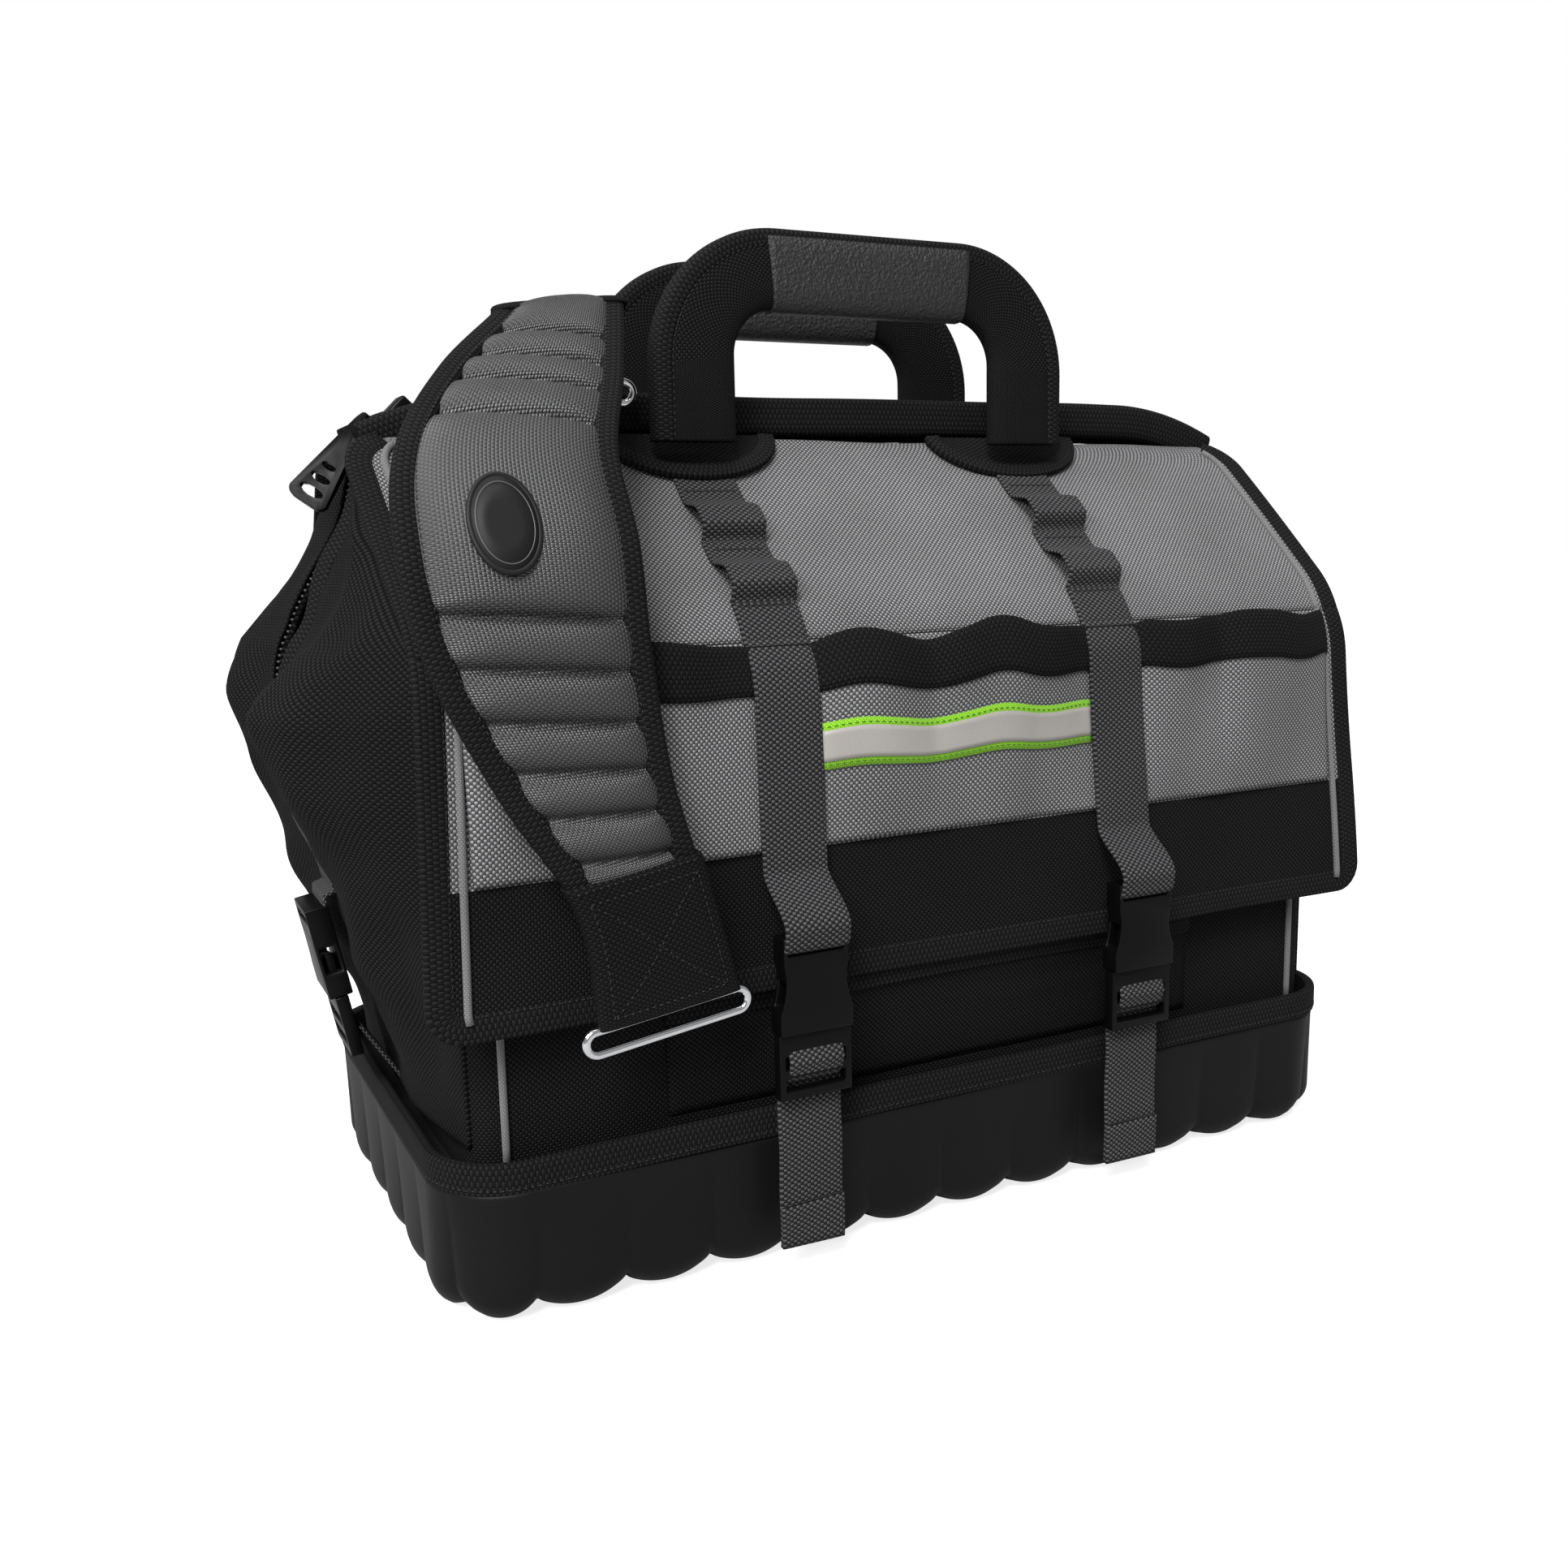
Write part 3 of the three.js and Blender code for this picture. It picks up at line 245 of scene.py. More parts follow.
def piping_cord():
    # light grey piping sewn into the side seams
    return woven("light_grey_piping", "#7c7c7d", "#666667", "#3a3a3b", 0.8, 0.9, 0.2)


def pad_polyester():
    # coated polyester over the pad's foam: darker than the roof's, with a leathery shine
    return woven("coated_pad_polyester", "#4c4c4e", "#232324", "#070708", 1.6, 1.1, 0.7,
                 roughness=0.38, sheen=0.0, glint=0.75)


def eva_rubber():
    # moulded EVA tray: soft sheen, and a matt grain
    return moulded("moulded_eva", "#0f0f10", 0.5, 0.9, 0.12, Specular_IOR_Level=0.16)


def acetal():
    # injection-moulded acetal buckles: smooth, with a low gloss
    return moulded("moulded_acetal", "#070708", 0.36, 0.5, 0.03, Specular_IOR_Level=0.14)


def foam_grip():
    # textured foam rubber on the grips: coarse grit, with a strong painted glint on its peaks and painted
    # shade in its pits
    return moulded("textured_foam_rubber", "#202021", 0.5, 1.5, 4.0, peak_glint=0.9,
                   Specular_IOR_Level=0.5)


def badge_rubber():
    # soft PVC badge: smooth dark grey with a low sheen
    return moulded("soft_pvc", "#1c1c1d", 0.5, 0.6, 0.03, Specular_IOR_Level=0.2)


def badge_rim():
    # the badge's raised light rim
    return moulded("light_pvc_rim", "#58585a", 0.4, 0.6, 0.05)


def reflective_tape():
    # glass-bead reflective tape: flat silver that brightens head-on
    return moulded("reflective_silver_tape", "#9c9893", 0.45, 0.35, 0.02)


def lime_tape():
    # fluorescent lime ribbon at the reflective tape's edges
    return woven("lime_ribbon", "#8ed42a", "#78b81c", "#487010", 0.9, 0.9, 0.2)


def zip_cloth():
    # mid grey woven zip tape
    return woven("grey_zip_tape", "#7c7c7d", "#666667", "#3c3c3d", 0.7, 0.7, 0.2)


def zip_teeth():
    # moulded nylon zip teeth: dark grey, with a slight shine
    return moulded("moulded_nylon_teeth", "#3c3c3e", 0.35, 0.4, 0.02)


def sewing_thread():
    # bonded nylon thread, a shade lighter than the black cloth
    return moulded("dark_nylon_thread", "#1c1c1d", 0.5, 0.4, 0.03)


def polished_chrome():
    # chrome-plated steel wire: bright, with faint polishing marks
    return moulded("polished_chrome", "#e6e7ea", 0.08, 0.6, 0.01, Metallic=1.0)


def drawn_steel():
    # drawn steel rod inside each mouth sleeve
    return moulded("drawn_steel_rod", "#b8babd", 0.3, 0.3, 0.02, Metallic=1.0)


def board_plastic():
    # extruded polypropylene board on the tray's floor
    return moulded("polypropylene_board", "#2a2a2c", 0.6, 0.7, 0.05)


MAKERS = {
    "grey": grey_polyester, "black": black_polyester, "binding": binding_twill,
    "webbing": strap_webbing, "band": band_webbing, "piping": piping_cord, "pad": pad_polyester,
    "tray": eva_rubber, "plastic": acetal, "grip": foam_grip, "badge": badge_rubber,
    "badge_rim": badge_rim, "silver": reflective_tape, "lime": lime_tape, "zip_cloth": zip_cloth,
    "thread": sewing_thread, "teeth": zip_teeth, "chrome": polished_chrome, "steel": drawn_steel,
    "board": board_plastic,
}
made_materials = {}


def finish_of(key):
    """The material of that key, made once."""
    if key not in made_materials:
        made_materials[key] = MAKERS[key]()
    return made_materials[key]


# ---- Making meshes -----------------------------------------------------------------------------
def piece_from(bm, name, *finishes):
    """Turns a bmesh into a smooth-shaded piece with its materials."""
    mesh = bpy.data.meshes.new(name)
    bm.to_mesh(mesh)
    bm.free()
    mesh.shade_smooth()
    for key in finishes:
        mesh.materials.append(finish_of(key))
    piece = bpy.data.objects.new(name, mesh)
    bpy.context.scene.collection.objects.link(piece)
    return piece


def shaped_grid(name, across, along, place, size, finishes, facing=None):
    """A sheet of across x along patches: place(u, v) gives a point, size its width and height.

    Size may also be a function of u and v that gives the cloth's own lengths there.
    """
    measure = size if callable(size) else lambda u, v: (u * size[0], v * size[1])
    bm = bmesh.new()
    layer = bm.loops.layers.uv.new("UVMap")
    bmesh.ops.create_grid(bm, x_segments=across, y_segments=along, size=0.5)
    shares = {v: (v.co.x + 0.5, v.co.y + 0.5) for v in bm.verts}
    for face in bm.faces:
        for loop in face.loops:
            u, v = shares[loop.vert]
            loop[layer].uv = measure(u, v)
    for vert, (u, v) in shares.items():
        vert.co = place(u, v)
    if facing is None:
        bmesh.ops.remove_doubles(bm, verts=bm.verts, dist=0.01 * MM)
        bmesh.ops.holes_fill(bm, edges=[e for e in bm.edges if e.is_boundary], sides=0)
        bmesh.ops.recalc_face_normals(bm, faces=bm.faces)
    else:
        bm.normal_update()
        if sum((f.normal * f.calc_area() for f in bm.faces), Vector()).dot(facing) < 0:
            bmesh.ops.reverse_faces(bm, faces=bm.faces)
    return piece_from(bm, name, *finishes)


def thicken(piece, thickness, offset=-1.0):
    """Gives a sheet its thickness, inwards from its face unless offset says otherwise."""
    wall = piece.modifiers.new("thickness", "SOLIDIFY")
    wall.thickness = thickness
    wall.offset = offset
    return piece


def stadium(width, thickness, steps=14, squareness=0.42):
    """Points of a flat cross-section with round edges: across and lift."""
    points = []
    for i in range(steps):
        turn = 2 * math.pi * (i + 0.5) / steps
        across = math.copysign(abs(math.cos(turn)) ** squareness, math.cos(turn))
        lift = math.copysign(abs(math.sin(turn)) ** squareness, math.sin(turn))
        points.append((across * width / 2, lift * thickness / 2))
    return points


def circle(diameter, steps=8):
    """Points of a round cross-section."""
    return stadium(diameter, diameter, steps, 1.0)


def round_lengths(section):
    """The length round a cross-section up to each of its points, and back to the first."""
    found = [0.0]
    for a, b in zip(section, section[1:] + section[:1]):
        found.append(found[-1] + (Vector(a) - Vector(b)).length)
    return found


def sweep(name, path, section, finish, closed=False):
    """Carries a closed cross-section along a path of (point, normal) pairs."""
    count = len(path)
    points = [p for p, _ in path]
    lengths = [0.0]
    for a, b in zip(points, points[1:]):
        lengths.append(lengths[-1] + (b - a).length)
    if closed:
        lengths.append(lengths[-1] + (points[0] - points[-1]).length)
    girth = round_lengths(section)
    rows = count if closed else count - 1

    def place(u, v):
        i = round(v * rows)
        point, normal = path[i % count]
        ahead = points[(i + 1) % count] if closed else points[min(i + 1, count - 1)]
        behind = points[(i - 1) % count] if closed else points[max(i - 1, 0)]
        tangent = (ahead - behind).normalized()
        side = tangent.cross(normal).normalized()
        across, lift = section[round(u * len(section)) % len(section)]
        return point + side * across + side.cross(tangent) * lift

    def measure(u, v):
        return girth[round(u * len(section))], lengths[round(v * rows)]

    return shaped_grid(name, len(section), rows, place, measure, [finish])


def resampled(path, pitch):
    """(point, tangent, normal) at even steps along a path of (point, normal) pairs."""
    found, carry = [], pitch / 2
    for (a, normal), (b, _) in zip(path, path[1:]):
        span = (b - a).length
        if span < 1e-9:
            continue
        while carry < span:
            found.append((a.lerp(b, carry / span), (b - a) / span, normal))
            carry += pitch
        carry -= span
    return found


def rows_of_blocks(name, paths, pitch, size, finish):
    """Small rounded blocks along paths: stitches or zip teeth. size is along, across and lift."""
    bm = bmesh.new()
    for path in paths:
        for point, tangent, normal in resampled(path, pitch):
            side = tangent.cross(normal).normalized()
            axes = Matrix((tangent * size[0], side * size[1], side.cross(tangent) * size[2]))
            place = Matrix.Translation(point) @ axes.transposed().to_4x4()
            bmesh.ops.create_icosphere(bm, subdivisions=1, radius=0.5, matrix=place)
    return piece_from(bm, name, finish)


def softened(node, name, width, finish, segments=2, sharp=25):
    """A copy of a CAD node with clean faces and rounded edges."""
    bm = bmesh.new()
    bm.from_mesh(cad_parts[node].data)
    bmesh.ops.remove_doubles(bm, verts=bm.verts, dist=0.01 * MM)
    bmesh.ops.dissolve_limit(bm, angle_limit=math.radians(1), verts=bm.verts, edges=bm.edges)
    edges = [e for e in bm.edges if e.is_manifold and e.calc_face_angle() > math.radians(sharp)]
    bmesh.ops.bevel(bm, geom=edges, offset=width, offset_type="OFFSET", segments=segments,
                    profile=0.5, affect="EDGES", material=-1, clamp_overlap=True)
    bmesh.ops.triangulate(bm, faces=[f for f in bm.faces if len(f.verts) > 4])
    piece = piece_from(bm, name, finish)
    piece.data.set_sharp_from_angle(angle=math.radians(40))
    return piece


def belongs(piece, body, finish, *nodes):
    """Rides a piece on its body and the CAD nodes that it stands for."""
    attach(piece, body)
    if nodes:
        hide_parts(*nodes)
    return piece


def bends(piece, body, start, end, finish, *nodes):
    """For cloth that bends from the root body to another between two heights: bakes its placement into its
    mesh and hides the CAD nodes that it stands for.
    """
    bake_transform(piece)
    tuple(start)
    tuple(end)
    if nodes:
        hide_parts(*nodes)
    return piece


def on_flap(piece, name, finish, *nodes):
    """Cloth that hangs from the fold of a flap: its placement is baked into its mesh and its CAD nodes
    hidden.
    """
    y = FOLD.x * (FRONT if name == "front" else REAR)
    bottom = FOLD.y - FOLD_ROUND
    return bends(piece, name + "_flap", (0, y, FOLD.y - 2 * MM), (0, y, bottom), finish, *nodes)


def on_roof(piece, name, finish, *nodes):
    """Cloth above the fold: the front rides on the root body, and the rear has its placement baked into
    its mesh.
    """
    if name == "front":
        return belongs(piece, "root", finish, *nodes)
    y = FOLD.x
    return bends(piece, "rear_mouth", (0, y, FOLD.y), (0, y, FOLD.y + FOLD_ROUND), finish, *nodes)


def wander(a, b, seed, amount):
    """A smooth, repeatable wave of cloth, in metres, at a place given in metres."""
    return amount * noise.noise(Vector((a * 11, b * 9, seed)))


# ---- The cover: roof panel and flap as one fall of cloth -----------------------------------------
def cover_profile(down):
    """(out, z) and the outward normal at a distance down a cover."""
    roof_way = (FOLD - ROOF_TOP).normalized()
    flap_way = (HEM - FOLD).normalized()
    past = down - ROOF_LENGTH
    if past <= -FOLD_ROUND or past >= FOLD_ROUND:
        way = roof_way if past < 0 else flap_way
        point = FOLD + way * past
    else:
        share = (past + FOLD_ROUND) / (2 * FOLD_ROUND)
        start, end = FOLD - roof_way * FOLD_ROUND, FOLD + flap_way * FOLD_ROUND
        point = start.lerp(FOLD, share).lerp(FOLD.lerp(end, share), share)
        way = roof_way.lerp(flap_way, share).normalized()
    return point, Vector((-way.y, way.x))


def on_cover(side, x, down, lift=0.0):
    """A point on a cover, lifted off its cloth."""
    point, normal = cover_profile(down)
    place = point + normal * lift
    return Vector((x, side * place.x, place.y))


def cover_normal(side, down):
    """The way out of a cover's cloth."""
    normal = cover_profile(down)[1]
    return Vector((0, side * normal.x, normal.y))


def down_to(z):
    """How far down a flap a height lies."""
    return ROOF_LENGTH + (FOLD.y - z) / (FOLD.y - HEM.y) * (COVER_LENGTH - ROOF_LENGTH)


def rounded_in(distance, radius):
    """How far a round corner draws an edge in, at a distance from its end."""
    return radius - math.sqrt(max(0.0, radius**2 - (radius - distance) ** 2)) if distance < radius else 0


def cover_half(down):
    """Half the width of a cover: it widens to the hem and its corners are round."""
    if down < ROOF_LENGTH:
        half = ROOF_HIGH.x + (FLAP_HALF_TOP - ROOF_HIGH.x) * down / ROOF_LENGTH
    else:
        share = (down - ROOF_LENGTH) / (COVER_LENGTH - ROOF_LENGTH)
        half = FLAP_HALF_TOP + (FLAP_HIGH.x - FLAP_HALF_TOP) * share
    return half - rounded_in(down, ROOF_CORNER) - rounded_in(COVER_LENGTH - down, HEM_CORNER)


def cover_ripple(side, x, down):
    """Slow waves of the cover's cloth, still at the fold, where its two panels meet."""
    still = min(1.0, abs(down - ROOF_LENGTH) / FOLD_ROUND)
    return wander(x, down, 3 + side, 3.2 * MM) * still


def cover_panel(name, side, low, high, rows, lift):
    """One panel of a cover, between two distances down it."""
    def place(u, v):
        down = high + (low - high) * v
        x = (2 * u - 1) * (cover_half(down) - 1 * MM)
        return on_cover(side, x, down, lift + cover_ripple(side, x, down))

    size = (2 * FLAP_HIGH.x, high - low)
    return thicken(shaped_grid(name, 90, rows, place, size, ["grey", "black"], Vector((0, side, 0.5))),
                   CLOTH)


def edge_path(side, low, high, end, inset, lift, steps=40):
    """A line down one side of a cover, inset from its edge."""
    path = []
    for i in range(steps + 1):
        down = low + (high - low) * i / steps
        x = end * (cover_half(down) - inset)
        path.append((on_cover(side, x, down, lift + cover_ripple(side, x, down)),
                     cover_normal(side, down)))
    return path


def hem_path(side, inset, lift, steps=48):
    """Down the left edge of a flap, along its hem and up the right edge."""
    last = COVER_LENGTH - inset
    left = edge_path(side, ROOF_LENGTH - 1 * MM, last - HEM_CORNER, -1, inset, lift)
    right = edge_path(side, ROOF_LENGTH - 1 * MM, last - HEM_CORNER, 1, inset, lift)
    reach = cover_half(last - HEM_CORNER) - inset
    corner = []
    for i in range(1, 6):
        turn = math.pi / 2 * i / 6
        x = reach - HEM_CORNER * (1 - math.cos(turn))
        down = last - HEM_CORNER * (1 - math.sin(turn))
        corner.append((x, down))
    flat = [((2 * i / steps - 1) * (reach - HEM_CORNER), last) for i in range(steps + 1)]
    run = [(-x, d) for x, d in corner] + flat + [(x, d) for x, d in reversed(corner)]
    bottom = [(on_cover(side, x, d, lift + cover_ripple(side, x, d)), cover_normal(side, d))
              for x, d in run]
    return left + bottom + right[::-1]


def length(name, description, millimetres):
    """A length that a user may change, given in millimetres."""
    return FloatProperty(name=name, description=description, default=millimetres * MM, unit="LENGTH")


class BagSizes(bpy.types.PropertyGroup):
    """Sizes of the bag's sewn details"""

    binding_width: length("Binding width", "Tape folded over an edge", 12)
    binding_thickness: length("Binding thickness", "Both layers and the edge", 3.6)
    piping_diameter: length("Piping diameter", "Cord in the side seams", 3.4)
    piping_inset: length("Piping inset", "From a flap's side edge", 14.5)
    stitch_pitch: length("Stitch pitch", "From one stitch to the next", 3.2)
    tooth_pitch: length("Zip tooth pitch", "From one tooth to the next", 3.0)
    band_height: length("Pocket band height", "Webbing along the pockets", 21)
    strip_height: length("Reflective strip height", "With its lime edges", 21)
    lobe_count: IntProperty(name="Tray lobes", description="Rounded lobes round the tray",
                            default=36, min=8)
    lobe_depth: length("Lobe depth", "How far a groove between lobes goes in", 3.4)
    channel_depth: length("Channel depth", "Sewn channels across the pad", 7.5)


class BagColours(bpy.types.PropertyGroup):
    """Colours of the stage"""

    floor: FloatVectorProperty(name="Floor", description="The studio floor", subtype="COLOR",
                               default=linear("#b4b4b4"), min=0, max=1)


def round_rectangle(half_x, half_y, radius, corner_steps, side_steps):
    """Points and outward normals round a rectangle with round corners, and the length so far."""
    flat_x, flat_y = half_x - radius, half_y - radius
    found = []
    runs = (((half_x, -flat_y), (half_x, flat_y), 0), ((flat_x, half_y), (-flat_x, half_y), 90),
            ((-half_x, flat_y), (-half_x, -flat_y), 180), ((-flat_x, -half_y), (flat_x, -half_y), 270))
    for start, end, degrees in runs:
        normal = Vector((math.cos(math.radians(degrees)), math.sin(math.radians(degrees))))
        steps = max(1, round(side_steps * (Vector(end) - Vector(start)).length / (2 * half_x)))
        for i in range(steps):
            found.append((Vector(start).lerp(Vector(end), i / steps), normal))
        centre = Vector(end) - normal * radius
        for i in range(corner_steps):
            turn = math.radians(degrees) + math.pi / 2 * i / corner_steps
            way = Vector((math.cos(turn), math.sin(turn)))
            found.append((centre + way * radius, way))
    return found


def lengths_round(outline):
    """The length round an outline up to each of its points."""
    total = [0.0]
    for (a, _), (b, _) in zip(outline, outline[1:] + outline[:1]):
        total.append(total[-1] + (b - a).length)
    return total


# ---- Operators ---------------------------------------------------------------------------------
class MakeTray(bpy.types.Operator):
    """Make the moulded tray and the tape bound over its rim"""

    bl_idname = "tool_bag.make_tray"
    bl_label = "Tray"

    def execute(self, context):
        sizes = context.scene.bag_sizes
        outline = round_rectangle(TRAY_HIGH.x, TRAY_HIGH.y, TRAY_CORNER, 60, 340)
        along = lengths_round(outline)
        height = TRAY_HIGH.z
        rows = 26

        def place(u, v):
            i = round(u * len(outline)) % len(outline)
            point, normal = outline[i]
            lobe = abs(math.sin(math.pi * sizes.lobe_count * along[i] / along[-1])) ** 0.6
            z = height * v
            fade = (1 - v) ** 0.8
            inset = sizes.lobe_depth * (1 - lobe) * fade
            inset += rounded_in(z, TRAY_FOOT) * 0.95
            lift = 7 * MM * (1 - lobe) * (1 - v) ** 3
            flat = point - normal * inset
            return Vector((flat.x, flat.y, z + lift))

        tray = shaped_grid("tray", len(outline), rows, place, (along[-1], height), ["tray"])
        belongs(tray, "root", "tray", "base_tray")

        tape = RIM_HIGH.z - RIM_LOW.z
        inset = 3 * MM
        ring = round_rectangle(RIM_HIGH.x - inset, RIM_HIGH.y - inset, TRAY_CORNER - inset, 24, 160)
        path = []
        for point, normal in ring:
            wave = wander(point.x, point.y, 7, 1.6 * MM)
            way = Vector((normal.x, normal.y, 0))
            path.append((Vector((point.x, point.y, RIM_LOW.z + tape / 2 + wave)) + way * wave, way))
        rim = sweep("rim_binding", path, stadium(tape + 1 * MM, 5.4 * MM, 20, 0.35), "binding",
                    closed=True)
        belongs(rim, "root", "binding", "tray_rim_tape")
        seam = [(p + n * 2.8 * MM - Vector((0, 0, tape / 2 - 2.5 * MM)), n) for p, n in path + path[:1]]
        belongs(rows_of_blocks("rim_stitches", [seam], sizes.stitch_pitch,
                               (2.2 * MM, 0.6 * MM, 0.5 * MM), "thread"), "root", "thread")
        return {"FINISHED"}


class MakeBody(bpy.types.Operator):
    """Make the cloth walls, the wall pockets and the corner piping"""

    bl_idname = "tool_bag.make_body"
    bl_label = "Body"

    def execute(self, context):
        sizes = context.scene.bag_sizes
        outline = round_rectangle(BODY_END, BODY_FRONT, BODY_CORNER, 8, 150)
        along = lengths_round(outline)
        low, wall_top, end_top = WALL_FOOT, SHELL_HIGH.z, END_WALL_TOP
        open_half = BODY_FRONT - BODY_CORNER

        def place(u, v):
            i = round(u * len(outline)) % len(outline)
            point, normal = outline[i]
            top = end_top if abs(point.y) < open_half else wall_top
            z = low + (top - low) * v
            flat = point + normal * wander(point.x + point.y, z, 11, 2 * MM) * min(1, v * 2)
            return Vector((flat.x, flat.y, z))

        walls = shaped_grid("walls", len(outline), 40, place, (along[-1], wall_top - low), ["black"],
                            Vector((0, 0, 0)))
        bm = bmesh.new()
        bm.from_mesh(walls.data)
        bmesh.ops.remove_doubles(bm, verts=bm.verts, dist=0.01 * MM)
        bmesh.ops.recalc_face_normals(bm, faces=bm.faces)
        bm.to_mesh(walls.data)
        bm.free()
        thicken(walls, CLOTH)
        belongs(walls, "root", "black", "body_shell")
        for name, side in SIDES:
            self.wall_pocket(name, side)
        for name, side in SIDES:
            for end_name, end in ENDS:
                x, y = end * (BODY_END - 15 * MM), side * (BODY_FRONT + 0.9 * MM)
                way = Vector((0, side, 0))
                path = [(Vector((x, y, z * MM)), way) for z in range(70, 286, 8)]
                cord = sweep(f"{name}_{end_name}_corner_piping", path, circle(sizes.piping_diameter),
                             "piping")
                belongs(cord, "root", "piping")
        finish_board()
        return {"FINISHED"}

    def wall_pocket(self, name, side):
        """The open pocket on a wall under its flap's hem, bound along its bowed mouth."""
        half = POCKET_HIGH.x
        low, high = POCKET_LOW.z, POCKET_HIGH.z
        bulge = POCKET_HIGH.y - POCKET_LOW.y

        def point(x, share):
            swell = max(0.0, 1 - (x / half) ** 2) ** 0.6 * share
            y = BODY_FRONT + 1 * MM + bulge * swell + wander(x, share, 17, 1.5 * MM) * share
            return Vector((x, side * y, low + (high - low) * share - 5 * MM * share * (x / half) ** 2))

        sheet = shaped_grid(name + "_wall_pocket", 48, 12,
                            lambda u, v: point((2 * u - 1) * half, v), (2 * half, high - low),
                            ["black"], Vector((0, side, 0)))
        belongs(thicken(sheet, 1.5 * MM), "root", "black", name + "_pocket")
        path = [(point(half * (i / 24 - 1), 1.0), Vector((0, side, 0))) for i in range(49)]
        edge = sweep(name + "_wall_pocket_binding", path, stadium(9 * MM, 3.4 * MM), "binding")
        belongs(edge, "root", "binding")


def finish_board():
    """The inner board stays as the frame has it, with its real finish."""
    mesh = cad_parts["base_board"].data
    mesh.materials.clear()
    mesh.materials.append(finish_of("board"))


# How far the end cloth stands out: at its crest and at the middle, by height from 0 at its foot to
# 1 at the fold and 2 at the top.
CREST = ((0, 8), (0.28, 22), (0.47, 34), (0.57, 41), (0.66, 51), (0.77, 63), (0.87, 69), (0.93, 70),
         (1, 62), (1.1, 51), (1.22, 40), (1.54, 19), (2, 2))
MIDDLE = ((0, 6), (0.28, 16), (0.47, 30), (0.74, 47), (0.86, 43), (1, 33), (1.45, 18), (1.76, 11), (2, 2))
CREST_SHARE = 0.4     # of the way from the middle to the seam, up to the widest height
CREST_SPREAD = 0.42   # how much further out the crest runs by the time that it nears the roof
ZIP_FOOT = 262 * MM
ZIP_GAP = 10 * MM     # half the gap between the zip's edges where it is open


def eased(table, at):
    """Reads a table between its places."""
    for (start, low), (end, high) in zip(table, table[1:]):
        if at <= end:
            share = max(0.0, (at - start) / (end - start))
            return (low + (high - low) * share) * MM
    return table[-1][1] * MM


def seam_out(z):
    """How far from the middle plane an end's cloth is sewn to the roof or wall."""
    share = (z - FOLD.y) / (ROOF_TOP.y - FOLD.y)
    roof_line = FOLD.x + (ROOF_TOP.x - FOLD.x) * share
    return min(BODY_FRONT, roof_line - 3 * MM) - 6 * MM


def end_level(z):
    """A height on an end: 0 at its foot, 1 at the fold and 2 at the top."""
    foot = GUSSET_LOW.z
    if z < FOLD.y:
        return max(0.0, (z - foot) / (FOLD.y - foot))
    return 1 + (z - FOLD.y) / (ROOF_TOP.y - FOLD.y)


def end_bulge(y, z):
    """How far an end's cloth stands out past the body at a place."""
    level = end_level(z)
    share = abs(y) / seam_out(z)
    # neighbouring heights are averaged, so that the cloth bends and doesn't crease at a table's places
    spread = (-0.05, -0.025, 0.0, 0.025, 0.05)
    crest = sum(eased(CREST, min(2, max(0, level + s))) for s in spread) / len(spread)
    middle = sum(eased(MIDDLE, min(2, max(0, level + s))) for s in spread) / len(spread)
    if y < 0:
        # in front the cloth is drawn flatter above its widest height
        crest = middle + (crest - middle) * (1 - 0.7 * min(1.0, max(0.0, (level - 0.86) / 0.16)))
    ridge = CREST_SHARE + CREST_SPREAD * min(1.0, max(0.0, (level - 0.92) / 0.6))
    if share < ridge:
        t = share / ridge
        return middle + (crest - middle) * (0.5 * t + 0.5 * t * t * (3 - 2 * t))
    fall = min(1.0, (share - ridge) / (1 - ridge))
    return crest * (0.55 * math.cos(fall * math.pi / 2) + 0.45 * (1 - fall))


def end_point(end, y, z, lift=0.0):
    """A point on an end's cloth, with its folds."""
    edge = min(1.0, 4 * (1 - min(1.0, abs(y) / seam_out(z))))
    fold = wander(y * 1.6, z, 23 + end, 9 * MM) + wander(y * 4, z * 3.4, 31 + end, 5 * MM)
    x = BODY_END + end_bulge(y, z) + fold * edge * min(1.0, (z - GUSSET_LOW.z) / (40 * MM)) + lift
    return Vector((end * x, y, z))


def zip_opening(end, z):
    """How far an edge of the zip lies from the middle: it is open down the left end."""
    if end > 0:
        return 0.7 * MM if z > ZIP_FOOT else 0.0
    return ZIP_GAP * min(1.0, max(0.0, (z - ZIP_FOOT) / (40 * MM)))


